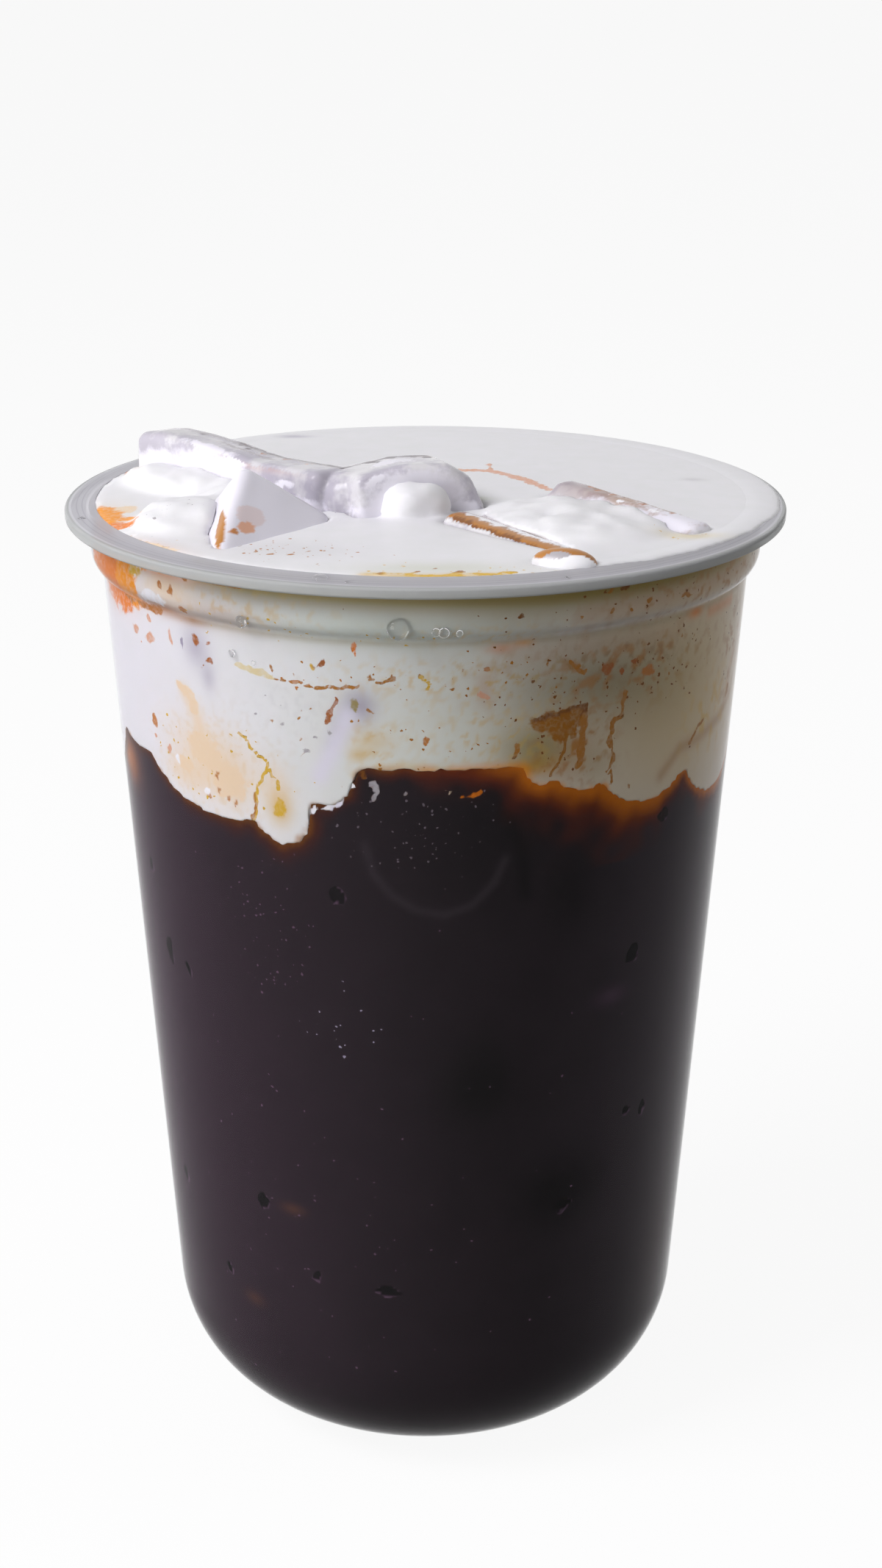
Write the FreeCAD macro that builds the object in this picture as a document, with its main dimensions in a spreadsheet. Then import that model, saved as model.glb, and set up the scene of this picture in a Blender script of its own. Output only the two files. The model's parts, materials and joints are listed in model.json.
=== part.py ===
"""Cold foam cold brew in a clear U-shaped takeaway cup, as a parametric FreeCAD document.

The cup is lathe-turned: a round base, a slightly tapered wall, a stacking collar with a
step under it, and an out-turned lip with a short skirt. It is brimful: black cold brew,
with cold foam on top whose underside hangs down in lobes, and four ice cubes and a chip of
ice that stand out of the foam. Millimetres, +Z up, origin on the table under the middle of the cup, and
the cup's front towards -Y. Bearings are degrees from the front, positive towards +X.
"""
import FreeCAD, Part
import math
import os
import Sketcher
from FreeCAD import Placement, Rotation, Vector

SIZES = {
    # Cup
    "rim_radius": 45.0,
    "cup_height": 123.5,        # table to the lip's outer edge
    "wall": 0.8,
    "floor_wall": 1.6,
    "foot_recess": 0.8,         # hollow under the floor, inside the standing ring
    "foot_ring": 2.6,           # width of the standing ring
    "base_round": 17.8,         # radius that turns the wall into the floor
    "taper": 3.81,              # degrees between the wall and the axis
    "flange_width": 3.0,        # collar to the edge of the lip
    "lip_thickness": 0.8,
    "lip_rise": 0.35,           # the lip's inner edge over its outer edge
    "lip_round": 0.35,
    "skirt_depth": 1.32,
    "skirt_wall": 0.7,
    "collar_depth": 7.5,        # lip's edge down to the step
    "step_inset": 1.41,         # collar to the wall under it
    "step_round": 3.1,
    # Drink
    "foam_depth": 23.0,         # lip's edge down to the level foam underside
    "foam_crown": 0.5,
    "lobe_reach": 15.0,         # how far a lobe runs in from the wall
    # Ice
    "ice_depth": 11.0,          # how far a cube reaches under the foam
    "ice_round": 1.1,
    "slab_length": 33.0,
    "slab_width": 6.6,
    "slab_depth": 7.0,
    "slab_rise": 6.0,
    "hump_length": 16.5,
    "hump_width": 9.5,
    "hump_rise": 6.4,
    "corner_edge": 15.5,        # the cube that stands on a corner: front edge
    "corner_side": 12.5,        # right edge
    "corner_back": 9.5,         # left edge
    "block_length": 24.0,
    "block_width": 22.0,
    "block_rise": 0.7,          # its back ridge at the low end, which faces the wall
    "block_fall": 1.1,          # front ridge under the back one
    "block_ridge": 2.8,         # width of the ridge left along each side of its top
    "block_hollow": 2.2,        # depth of the melted trough between them
    "chip_length": 7.2,
    "chip_width": 3.6,
    "chip_rise": 1.6,
}

# Lobes on the foam's underside: bearing, half width in degrees, depth of the tip in mm.
LOBES = [
    (-83.0, 10.0, 9.2), (-64.0, 12.0, 4.6), (-38.5, 21.5, 9.0), (-25.6, 6.0, 10.8), (-17.6, 5.6, 5.0),
    (20.2, 3.4, 2.7), (28.6, 7.0, 4.1), (43.6, 12.4, 7.5), (67.5, 15.0, 10.6),
    (92.0, 14.0, 7.4), (116.0, 12.0, 9.6), (139.0, 11.0, 5.6), (160.0, 13.0, 8.2),
    (184.0, 12.0, 6.2), (206.0, 10.0, 9.8), (228.0, 13.0, 7.0), (250.0, 11.0, 8.8),
]

# Banks where the foam rides up an ice cube: how far in from the wall, bearing, turn about Z,
# half length, half width and height.
BANKS = [
    (11.1, -95.7, -42.0, 11.0, 5.5, 2.8),
    (28.3, -5.8, 15.0, 3.8, 3.2, 5.3),
    (18.1, -72.3, -30.0, 8.0, 5.0, 2.4),
    (9.4, -61.8, 60.0, 8.0, 6.5, 2.8),
    (17.6, 49.8, -48.0, 12.5, 10.0, 1.8),
]

# Tops of the two melted cubes at the back, from the right end to the left: share of the
# length, and share of the rise.
SLAB_TOP = [(1.0, 0.82), (0.65, 0.77), (0.4, 0.92), (0.12, 1.0), (0.0, 0.9)]
HUMP_TOP = [(1.0, 0.0), (0.89, 0.63), (0.72, 0.92), (0.4, 0.94), (0.0, 0.77)]

# Where the ice stands: how far in from the wall, bearing, height over the brim, and its
# yaw, pitch and roll.
ICE_PLACES = {
    "ice_back_left": (2.1, -106.2, 0.0, (-42.5, 0.0, -3.0)),
    "ice_back_middle": (24.6, -29.7, 0.0, (18.0, 0.0, -4.0)),
    "ice_front_left": (14.6, -54.2, 7.2, (9.3, 32.4, -147.2)),
    "ice_right": (2.0, 60.8, 0.0, (42.0, 0.0, 3.6)),
    "ice_chip": (2.6, 23.8, 0.0, (-14.0, 0.0, 0.0)),
}


class Size:
    """A length or angle: its value now, and the expression that binds it to the sheet."""

    def __init__(self, value, text):
        self.value = value
        self.text = text

    @staticmethod
    def of(other):
        return other if isinstance(other, Size) else Size(float(other), repr(float(other)))

    def join(self, other, sign, value):
        return Size(value, f"({self.text} {sign} {Size.of(other).text})")

    def __add__(self, other):
        return self.join(other, "+", self.value + Size.of(other).value)

    def __sub__(self, other):
        return self.join(other, "-", self.value - Size.of(other).value)

    def __mul__(self, other):
        return self.join(other, "*", self.value * Size.of(other).value)

    def __truediv__(self, other):
        return self.join(other, "/", self.value / Size.of(other).value)


def sine(angle):
    return Size(math.sin(math.radians(angle.value)), f"sin({angle.text})")


def cosine(angle):
    return Size(math.cos(math.radians(angle.value)), f"cos({angle.text})")


def root(number):
    return Size(math.sqrt(number.value), f"sqrt({number.text})")


doc = FreeCAD.newDocument("ColdFoamColdBrew")
sheet = doc.addObject("Spreadsheet::Sheet", "Sizes")
for row, (alias, number) in enumerate(SIZES.items(), start=1):
    sheet.set(f"A{row}", alias)
    sheet.set(f"B{row}", str(number))
    sheet.setAlias(f"B{row}", alias)
doc.recompute()


def cell(alias):
    """The size that the sheet holds under this alias."""
    return Size(float(getattr(sheet, alias)), f"Sizes.{alias}")


def plane(body, role):
    """One of the body's own origin planes."""
    return next(item for item in body.Origin.OriginFeatures if item.Role == role)


def outline(body, name, corners):
    """Closed outline on the body's XZ plane, run counterclockwise and bound to the sheet.

    A corner is (x, z), or (x, z, centre x, centre z, radius) where an arc leads on from it.
    """
    sketch = body.newObject("Sketcher::SketchObject", name)
    sketch.AttachmentSupport = [(plane(body, "XZ_Plane"), "")]
    sketch.MapMode = "FlatFace"
    corners = [tuple(Size.of(entry) for entry in corner) for corner in corners]
    for index, corner in enumerate(corners):
        following = corners[(index + 1) % len(corners)]
        start = Vector(corner[0].value, corner[1].value, 0)
        end = Vector(following[0].value, following[1].value, 0)
        if len(corner) == 2:
            sketch.addGeometry(Part.LineSegment(start, end), False)
            continue
        centre = Vector(corner[2].value, corner[3].value, 0)
        circle = Part.Circle(centre, Vector(0, 0, 1), corner[4].value)
        angles = [math.atan2(point.y - centre.y, point.x - centre.x) for point in (start, end)]
        sketch.addGeometry(Part.ArcOfCircle(circle, *angles), False)
    for index, corner in enumerate(corners):
        following = (index + 1) % len(corners)
        sketch.addConstraint(Sketcher.Constraint("Coincident", index, 2, following, 1))
    for index, corner in enumerate(corners):
        if corner[0].value == 0:
            sketch.addConstraint(Sketcher.Constraint("PointOnObject", index, 1, -2))
        else:
            bind(sketch, Sketcher.Constraint("DistanceX", -1, 1, index, 1, corner[0].value), corner[0])
        bind(sketch, Sketcher.Constraint("DistanceY", -1, 1, index, 1, corner[1].value), corner[1])
        if len(corner) > 2:
            bind(sketch, Sketcher.Constraint("Radius", index, corner[4].value), corner[4])
    return sketch


def bind(sketch, constraint, size):
    """Adds a dimension to the sketch, driven by the sheet."""
    index = sketch.addConstraint(constraint)
    sketch.setExpression(f"Constraints[{index}]", size.text)


def turn(body, kind, name, sketch):
    """Revolves a sketch once round the cup's axis, adding or cutting."""
    feature = body.newObject(f"PartDesign::{kind}", name)
    feature.Profile = sketch
    feature.ReferenceAxis = (sketch, ["V_Axis"])
    feature.Angle = 360
    return feature


# ---------------------------------------------------------------- sizes worked out from the sheet
rim = cell("rim_radius")
edge = cell("cup_height")
taper = cell("taper")
wall = cell("wall")
base_round = cell("base_round")
step_round = cell("step_round")
collar = rim - cell("flange_width")
mouth = collar - wall
brim = edge + cell("lip_rise")
step = collar - cell("step_inset")
step_height = edge - cell("collar_depth")
foot = step - sine(taper) / cosine(taper) * (step_height - base_round) - base_round / cosine(taper)
shoulder_x = collar - step_round
shoulder_z = step_height + root(step_round * step_round
                                - (step - shoulder_x) * (step - shoulder_x))
foam_level = edge - cell("foam_depth")


def flank(inset):
    """The base round, wall, step and collar as corners, moved in from the cup's outside."""
    low = base_round - inset
    high = step_round - inset
    wall_x = foot + low * cosine(taper)
    wall_z = base_round - low * sine(taper)
    away_x = shoulder_x - wall_x
    away_z = shoulder_z - wall_z
    across = away_x * cosine(taper) - away_z * sine(taper)
    along = away_x * sine(taper) + away_z * cosine(taper) - root(high * high - across * across)
    return [
        (wall_x, wall_z),
        (wall_x + along * sine(taper), wall_z + along * cosine(taper), shoulder_x, shoulder_z, high),
        (collar - inset, shoulder_z),
    ]


def inside():
    """The cup's inside from the axis on the floor up to the collar, as corners."""
    floor = cell("floor_wall")
    low = base_round - wall
    drop = base_round - floor
    return [
        (0, floor),
        (foot + root(low * low - drop * drop), floor, foot, base_round, low),
        *flank(wall),
    ]


def make_cup():
    """The clear plastic cup: one turned piece with a hollow cut out of it."""
    body = doc.addObject("PartDesign::Body", "cup")
    recess = cell("foot_recess")
    hollow = foot - cell("foot_ring")
    lip = cell("lip_round")
    skirt = edge - cell("skirt_depth")
    skirt_in = rim - cell("skirt_wall")
    outside = outline(body, "cup_outside", [
        (0, recess),
        (hollow - recess, recess),
        (hollow, 0),
        (foot, 0, foot, base_round, base_round),
        *flank(Size.of(0)),
        (collar, brim - cell("lip_thickness")),
        (skirt_in, edge - cell("lip_thickness")),
        (skirt_in, skirt),
        (rim - lip, skirt, rim - lip, skirt + lip, lip),
        (rim, skirt + lip),
        (rim, edge - lip, rim - lip, edge - lip, lip),
        (rim - lip, edge),
        (mouth, brim),
        (0, brim),
    ])
    turn(body, "Revolution", "cup_turned", outside)
    hollow_outline = outline(body, "cup_inside", [*inside(), (mouth, brim + wall), (0, brim + wall)])
    turn(body, "Groove", "cup_hollow", hollow_outline)
    return body


def make_filling():
    """All that the cup holds, from the floor to the brim with its low crown."""
    body = doc.addObject("PartDesign::Body", "filling")
    crown = cell("foam_crown")
    dome = (mouth * mouth + crown * crown) / (crown * 2)
    sketch = outline(body, "filling_outline", [
        *inside(),
        (mouth, brim, 0, brim + crown - dome, dome),
        (0, brim + crown),
    ])
    turn(body, "Revolution", "filling_turned", sketch)
    return body


def primitive(kind, name, **sizes):
    """A Part primitive whose properties are bound to the sheet."""
    item = doc.addObject(f"Part::{kind}", name)
    for key, size in sizes.items():
        item.setExpression(key, Size.of(size).text)
    return item


def place(item, inward, bearing, height, rotation):
    """Puts an item at a bearing and a distance in from the mouth's wall, then turns it."""
    item.Placement = Placement(Vector(0, 0, 0), rotation)
    distance = mouth - inward
    heading = Size.of(bearing)
    item.setExpression("Placement.Base.x", (distance * sine(heading)).text)
    item.setExpression("Placement.Base.y", (distance * cosine(heading) * -1).text)
    item.setExpression("Placement.Base.z", height.text)


def combine(kind, name, first, *others):
    """A boolean of document objects: Cut and Common take two, MultiFuse takes any number."""
    item = doc.addObject(f"Part::{kind}", name)
    if kind == "MultiFuse":
        item.Shapes = [first, *others]
    else:
        item.Base = first
        item.Tool = others[0]
    return item


def make_foam_reach():
    """The space that foam fills: all above the level underside, and the lobes below it."""
    above = primitive("Cylinder", "foam_above", Radius=rim, Height=cell("foam_depth") * 2)
    above.setExpression("Placement.Base.z", foam_level.text)
    pieces = [above]
    for number, (bearing, half_width, depth) in enumerate(LOBES, start=1):
        lobe = primitive("Ellipsoid", f"lobe_{number}", Radius1=depth, Radius2=cell("lobe_reach"),
                         Radius3=step * math.radians(half_width))
        place(lobe, cell("step_inset") + wall, bearing, foam_level,
              Rotation(Vector(0, 0, 1), bearing - 90))
        pieces.append(lobe)
    return combine("MultiFuse", "foam_reach", *pieces)


def make_banks(foam):
    """The foam with the banks that ride up against the ice."""
    pieces = [foam]
    for number, (inward, bearing, heading, length, width, rise) in enumerate(BANKS, start=1):
        bank = primitive("Ellipsoid", f"bank_{number}", Radius1=rise, Radius2=length, Radius3=width)
        place(bank, inward, bearing, brim, Rotation(heading, 0, 0))
        pieces.append(bank)
    return combine("MultiFuse", "foam_banked", *pieces)


def stand(item, name):
    """Puts a piece of ice in its place, from its distance to the wall and its bearing."""
    inward, bearing, lift, turns = ICE_PLACES[name]
    place(item, inward, bearing, brim + lift, Rotation(*turns))


def make_cube(name, corners, width):
    """An ice cube drawn side on, given its width towards +Y, softened and put in its place."""
    body = doc.addObject("PartDesign::Body", f"{name}_whole")
    pad = body.newObject("PartDesign::Pad", f"{name}_width")
    pad.Profile = outline(body, f"{name}_side", corners)
    pad.Reversed = True
    pad.setExpression("Length", width.text)
    doc.recompute()
    soft = body.newObject("PartDesign::Fillet", f"{name}_soft")
    soft.Base = (pad, [f"Edge{number}" for number in range(1, len(pad.Shape.Edges) + 1)])
    soft.setExpression("Radius", cell("ice_round").text)
    stand(body, name)
    return body


def melted_side(length, depth, rise, top):
    """Side of a cube with a melted top: a flat bottom at a depth, and the top's own line."""
    return [
        (0, depth * -1),
        (length, depth * -1),
        *((length * along, rise * up) for along, up in top),
    ]


def cornered_side():
    """Side of the cube that stands on one corner: a plain rectangle."""
    side = cell("corner_side")
    back = cell("corner_back")
    return [(0, 0), (side, 0), (side, back), (0, back)]


def troughed_side():
    """Section of the big cube at the right, whose top has melted to a trough with two ridges."""
    width = cell("block_width") * -1
    under = cell("ice_depth") * -1
    ridge = cell("block_ridge")
    back = cell("block_rise")
    front = back - cell("block_fall")
    trough = back - cell("block_hollow")
    return [
        (width, under),
        (0, under),
        (0, back),
        (ridge * -1, back),
        (ridge * -2, trough),
        (width + ridge * 2, trough),
        (width + ridge, front),
        (width, front),
    ]


def make_ice_pieces():
    """The ice that stands out of the foam, in the order in which the pieces keep their room."""
    deep = cell("ice_depth")
    slab = melted_side(cell("slab_length"), cell("slab_depth"), cell("slab_rise"), SLAB_TOP)
    hump = melted_side(cell("hump_length"), deep, cell("hump_rise"), HUMP_TOP)
    chip = primitive("Ellipsoid", "ice_chip_whole", Radius1=cell("chip_rise"),
                     Radius2=cell("chip_length") / 2, Radius3=cell("chip_width") / 2)
    stand(chip, "ice_chip")
    return {
        "ice_back_left": make_cube("ice_back_left", slab, cell("slab_width")),
        "ice_back_middle": make_cube("ice_back_middle", hump, cell("hump_width")),
        "ice_front_left": make_cube("ice_front_left", cornered_side(), cell("corner_edge")),
        "ice_right": make_cube("ice_right", troughed_side(), cell("block_length")),
        "ice_chip": chip,
    }


def separate(pieces):
    """Cuts each piece by the ones before it, so that no two ever share space."""
    kept = {}
    for name, piece in pieces.items():
        for other in list(kept.values()):
            piece = combine("Cut", f"{name}_less_{len(kept)}", piece, other)
        kept[name] = piece
    return kept


def make_nodes():
    """Every piece that is kept, by the name of its node."""
    cup = make_cup()
    filling = make_filling()
    reach = make_foam_reach()
    ice = separate(make_ice_pieces())
    foam = make_banks(combine("Common", "foam_plain", filling, reach))
    nodes = {
        "cup": cup,
        "cold_brew": combine("Cut", "filling_under_foam", filling, reach),
        "cold_foam": combine("Cut", "foam_round_ice", foam,
                             combine("MultiFuse", "all_ice", *ice.values())),
        **ice,
    }
    for label, item in nodes.items():
        item.Label = label
    return nodes


def check(nodes):
    """Raises if an object failed, the cup was not hollowed, or a piece is not one sound solid."""
    for item in doc.Objects:
        if "Invalid" in item.State or "Error" in item.State:
            raise RuntimeError(f"{item.Name}: {item.State}")
    if doc.getObject("cup_hollow").Shape.Volume >= doc.getObject("cup_turned").Shape.Volume:
        raise RuntimeError("cup_hollow cuts nothing")
    for label, item in nodes.items():
        shape = item.Shape
        if shape.isNull() or not shape.isValid() or len(shape.Solids) != 1:
            raise RuntimeError(f"{label} is not one sound solid")


nodes = make_nodes()
doc.recompute()
check(nodes)
os.makedirs("parts", exist_ok=True)
for item in nodes.values():
    item.Shape.exportStep(f"parts/{item.Label}.step")
    print(f"{item.Label}: {item.Shape.Volume / 1000:.2f} ml")
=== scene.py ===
"""The looks of a cold foam cold brew in its clear cup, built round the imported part.

Everything is in metres in the part's own frame: +Z up, and the front towards -Y. A bearing is
in degrees from the front, positive towards +X. Sizes below are in millimetres, times MM.
"""
from __future__ import annotations

import json
import logging
import math
from dataclasses import dataclass, field
from enum import Enum

import bmesh
import bpy
import numpy as np
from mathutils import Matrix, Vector, kdtree, noise

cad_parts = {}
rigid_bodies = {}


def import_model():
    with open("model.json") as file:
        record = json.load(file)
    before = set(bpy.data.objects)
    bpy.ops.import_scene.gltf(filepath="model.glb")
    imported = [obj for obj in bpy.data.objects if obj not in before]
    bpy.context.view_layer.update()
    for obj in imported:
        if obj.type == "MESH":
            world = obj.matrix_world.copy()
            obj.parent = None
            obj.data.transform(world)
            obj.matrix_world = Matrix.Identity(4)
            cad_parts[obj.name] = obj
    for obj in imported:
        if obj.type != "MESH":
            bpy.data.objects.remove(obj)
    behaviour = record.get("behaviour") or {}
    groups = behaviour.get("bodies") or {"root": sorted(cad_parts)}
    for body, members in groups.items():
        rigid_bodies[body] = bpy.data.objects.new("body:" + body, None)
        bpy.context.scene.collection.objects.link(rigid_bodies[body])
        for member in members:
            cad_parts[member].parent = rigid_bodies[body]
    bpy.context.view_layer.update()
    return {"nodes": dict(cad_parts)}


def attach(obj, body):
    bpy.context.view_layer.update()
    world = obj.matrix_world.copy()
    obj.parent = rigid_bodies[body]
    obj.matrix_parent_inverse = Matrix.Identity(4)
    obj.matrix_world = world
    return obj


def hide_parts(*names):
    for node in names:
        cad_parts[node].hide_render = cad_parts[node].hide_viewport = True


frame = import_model()

MM = 0.001
BODY = "root"
FOAM_EDGE_BELOW = 108 * MM
AMBER_FROM = (-14.0, 8.0)
NODES: dict[str, bpy.types.Object] = frame["nodes"]
log = logging.getLogger("cold_brew")


# ---------------------------------------------------------------- tools
def linear(code: str, alpha: float = 1.0) -> tuple[float, float, float, float]:
    """Turns an sRGB hex colour to linear light.

    Args:
        code: six hex digits.
        alpha: the fourth value, passed on as it is.

    Returns:
        Red, green, blue and alpha for a shader socket.
    """
    shares = [int(code[place:place + 2], 16) / 255 for place in (0, 2, 4)]
    red, green, blue = [s / 12.92 if s <= 0.04045 else ((s + 0.055) / 1.055) ** 2.4 for s in shares]
    return red, green, blue, alpha


def activate(piece: bpy.types.Object) -> None:
    """Deselects all and makes one object the selected, active one."""
    bpy.ops.object.select_all(action="DESELECT")
    piece.select_set(True)
    bpy.context.view_layer.objects.active = piece


def place_object(name: str, data: bpy.types.ID) -> bpy.types.Object:
    """Makes an object of a mesh, lamp or camera and links it to the scene."""
    item = bpy.data.objects.new(name, data)
    bpy.context.scene.collection.objects.link(item)
    return item


def make_mesh(
    name: str, points: list, edges: list[tuple[int, int]], faces: list[tuple[int, ...]]
) -> bpy.types.Object:
    """Makes a mesh object and activates it.

    Args:
        name: the name of the mesh and of the object.
        points: the place of each vertex.
        edges: pairs of vertices, for a mesh without faces.
        faces: the vertices round each face.

    Returns:
        The new object.
    """
    mesh = bpy.data.meshes.new(name)
    mesh.from_pydata(points, edges, faces)
    piece = place_object(name, mesh)
    activate(piece)
    return piece


def make_ball(segments: int, rings: int) -> bpy.types.Object:
    """Returns a new sphere of radius 1 at the origin."""
    bpy.ops.object.select_all(action="DESELECT")
    bpy.ops.mesh.primitive_uv_sphere_add(segments=segments, ring_count=rings, radius=1.0)
    return bpy.context.object


def apply_modifier(piece: bpy.types.Object, kind: str, **settings: object) -> None:
    """Adds a modifier to an object and applies it.

    Args:
        piece: the object to change.
        kind: the modifier's type.
        settings: the modifier's own settings.
    """
    activate(piece)
    modifier = piece.modifiers.new(kind.title(), kind)
    for key, value in settings.items():
        setattr(modifier, key, value)
    bpy.ops.object.modifier_apply(modifier=modifier.name)


def read_points(piece: bpy.types.Object, key: str = "co") -> np.ndarray:
    """Returns the mesh's vertices, or another vector of each, as an array with one row each."""
    flat = np.empty(len(piece.data.vertices) * 3, np.float32)
    piece.data.vertices.foreach_get(key, flat)
    return flat.reshape(-1, 3).astype(float)


def write_points(piece: bpy.types.Object, points: np.ndarray) -> None:
    """Moves the mesh's vertices to the rows of an array."""
    piece.data.vertices.foreach_set("co", points.astype(np.float32).ravel())
    piece.data.update()


def bearings(points: np.ndarray) -> np.ndarray:
    """Returns each point's bearing in degrees from the front."""
    return np.degrees(np.arctan2(points[:, 0], -points[:, 1]))


def polar(radius: float, bearing: float, height: float) -> Vector:
    """Returns the point at a radius, a bearing in degrees and a height."""
    turn = math.radians(bearing)
    return Vector((radius * math.sin(turn), -radius * math.cos(turn), height))


def ease(value: np.ndarray, low: float, high: float) -> np.ndarray:
    """Returns 0 below low, 1 above high, and a smooth step between them."""
    share = np.clip((value - low) / (high - low), 0, 1)
    return share * share * (3 - 2 * share)


def rough_noise(points: np.ndarray, size: float, seed: float) -> np.ndarray:
    """Returns smooth noise between about -1 and 1 at each point.

    Args:
        points: where to read it, in metres.
        size: how large its lumps are, in metres.
        seed: moves the pattern.
    """
    shift = Vector((seed, -seed, seed * 0.5))
    return np.array([noise.noise(Vector(point / size) + shift) for point in points])


def layered_noise(points: np.ndarray, *layers: tuple[float, float, float]) -> np.ndarray:
    """Adds up layers of rough noise, each with its size, its seed and its share."""
    return sum(share * rough_noise(points, size, seed) for size, seed, share in layers)


def add_node(
    tree: bpy.types.NodeTree, kind: str, inputs: dict | None = None, **settings: object
) -> bpy.types.Node:
    """Adds one shader node.

    Args:
        tree: the node tree to add it to.
        kind: the node's type.
        inputs: a value, a socket or a node (its first socket) for each input, by name or number.
        settings: the node's own settings.

    Returns:
        The new node.
    """
    item = tree.nodes.new(kind)
    for key, value in settings.items():
        setattr(item, key, value)
    for key, value in (inputs or {}).items():
        if isinstance(value, bpy.types.Node):
            value = value.outputs[0]
        if isinstance(value, bpy.types.NodeSocket):
            tree.links.new(value, item.inputs[key])
        else:
            item.inputs[key].default_value = value
    return item


def new_material(name: str) -> tuple[bpy.types.Material, bpy.types.NodeTree]:
    """Makes an empty node material.

    Returns:
        The material and its node tree.
    """
    material = bpy.data.materials.new(name)
    material.use_nodes = True
    material.node_tree.nodes.clear()
    return material, material.node_tree


def show_surface(tree: bpy.types.NodeTree, shader: bpy.types.Node) -> None:
    """Sends a shader to the material's output."""
    add_node(tree, "ShaderNodeOutputMaterial", {"Surface": shader})


def dress(piece: bpy.types.Object, material: bpy.types.Material) -> None:
    """Gives a finished piece its material and its body."""
    piece.data.materials.clear()
    piece.data.materials.append(material)
    if piece.parent is None:
        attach(piece, BODY)


def merged_copy(node: str, name: str) -> bpy.types.Object:
    """Copies a CAD solid and joins its loose triangles.

    Args:
        node: the CAD node's name.
        name: the new object's name.

    Returns:
        The new object, linked to the scene.
    """
    mesh = bpy.data.meshes.new(name)
    shape = bmesh.new()
    shape.from_mesh(NODES[node].data)
    bmesh.ops.remove_doubles(shape, verts=shape.verts, dist=0.001 * MM)
    shape.to_mesh(mesh)
    shape.free()
    return place_object(name, mesh)


def soften(piece: bpy.types.Object, voxel: float, passes: int) -> None:
    """Rebuilds a solid in even facets and smooths it.

    Args:
        piece: the object to rebuild.
        voxel: the facets' size.
        passes: how often it is smoothed.
    """
    apply_modifier(piece, "REMESH", mode="VOXEL", voxel_size=voxel, use_smooth_shade=True)
    apply_modifier(piece, "SMOOTH", factor=0.5, iterations=passes)


# ---------------------------------------------------------------- marks on the drink
class Face(Enum):
    """Which face of the drink a mark lies on."""

    SIDE = "side"
    TOP = "top"


class Tone(Enum):
    """Colours of coffee, caramel and milk as they mix, and of painted shade, sheen and highlights,
    as sRGB hex.
    """

    BLACK = "0D0A0B"
    SMOKE = "644B60"
    ASH = "6A6068"
    EMBER = "4A1E0C"
    FLAME = "DC7A0C"
    GLOW = "702A0A"
    RUST = "A8622E"
    BRICK = "C27C3C"
    CARAMEL = "EC8010"
    AMBER = "F59A08"
    # olive-brown of a coffee stain, laid as painted shade on the foam's right side
    MUD = "6E6238"
    FILM = "E9E6EF"
    PETAL = "E3D4D6"
    COPPER = "A2660C"
    TOFFEE = "B2752A"
    BROWN = "7E4A10"
    GOLD = "DDB23A"
    STRAW = "E6D6A8"
    SAND = "E2CD9E"
    KHAKI = "A39260"
    OLIVE = "978232"
    MOSS = "B9BE8E"
    PEACH = "F2D9B8"
    BLUSH = "E2AA8C"
    WINE = "3E2428"
    PLUM_DARK = "3A2C36"
    VIOLET = "EEEAF8"
    PLUM = "A79FB4"
    GREY = "B3AEB2"
    MILK = "E8F0E6"
    WHITE = "FAF9FD"

    @property
    def colour(self) -> np.ndarray:
        """The tone in linear light."""
        return np.array(linear(self.value)[:3])


@dataclass(frozen=True)
class FlatMark:
    """A mark on one face of the drink."""

    face: Face

    def distance(self, across: np.ndarray, up: np.ndarray, scale: float) -> np.ndarray:
        """Measures from the mark's core, so that its edge is at 1.

        Args:
            across: each point's bearing or x.
            up: each point's height or y.
            scale: how many millimetres one unit across is.

        Returns:
            The distance of each point.
        """
        raise NotImplementedError


@dataclass(frozen=True)
class Patch(FlatMark):
    """A blot: its middle, half length, half width and turn, in millimetres and degrees.

    On the side the middle is a bearing and a height, and on the top it is x and y. A wash with
    a cloud size breaks up into small clouds of about that many millimetres.
    """

    middle: tuple[float, float]
    size: tuple[float, float]
    tone: Tone
    strength: float = 1.0
    turn: float = 0.0
    cloud: float = 0.0

    def distance(self, across: np.ndarray, up: np.ndarray, scale: float) -> np.ndarray:
        """Measures each point from the middle, on the turned axes."""
        turn = math.radians(self.turn)
        dx = (across - self.middle[0]) * scale
        dy = up - self.middle[1]
        along = (dx * math.cos(turn) + dy * math.sin(turn)) / self.size[0]
        aside = (dy * math.cos(turn) - dx * math.sin(turn)) / self.size[1]
        return np.hypot(along, aside)


@dataclass(frozen=True)
class Stroke(FlatMark):
    """A streak along a line of points, with a half width in millimetres."""

    path: tuple[tuple[float, float], ...]
    width: float
    tone: Tone
    strength: float = 1.0

    def distance(self, across: np.ndarray, up: np.ndarray, scale: float) -> np.ndarray:
        """Measures each point from the nearest stretch of the line."""
        nearest = np.full(len(across), np.inf)
        for start, end in zip(self.path, self.path[1:]):
            run = np.array([(end[0] - start[0]) * scale, end[1] - start[1]])
            dx = (across - start[0]) * scale
            dy = up - start[1]
            share = np.clip((dx * run[0] + dy * run[1]) / max(run @ run, 1e-9), 0, 1)
            nearest = np.minimum(nearest, np.hypot(dx - share * run[0], dy - share * run[1]))
        return nearest / self.width


@dataclass(frozen=True)
class Spots(FlatMark):
    """Many small round blots of one tone and radius."""

    places: tuple[tuple[float, float], ...]
    radius: float
    tone: Tone
    strength: float = 1.0

    def distance(self, across: np.ndarray, up: np.ndarray, scale: float) -> np.ndarray:
        """Measures each point from the nearest spot."""
        nearest = np.full(len(across), np.inf)
        for place in self.places:
            nearest = np.minimum(nearest, np.hypot((across - place[0]) * scale, up - place[1]))
        return nearest / self.radius


@dataclass(frozen=True)
class Blot:
    """A patch on a piece of ice: its middle and half sizes in space, in millimetres."""

    middle: tuple[float, float, float]
    size: tuple[float, float, float]
    tone: Tone
    strength: float = 1.0


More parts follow.
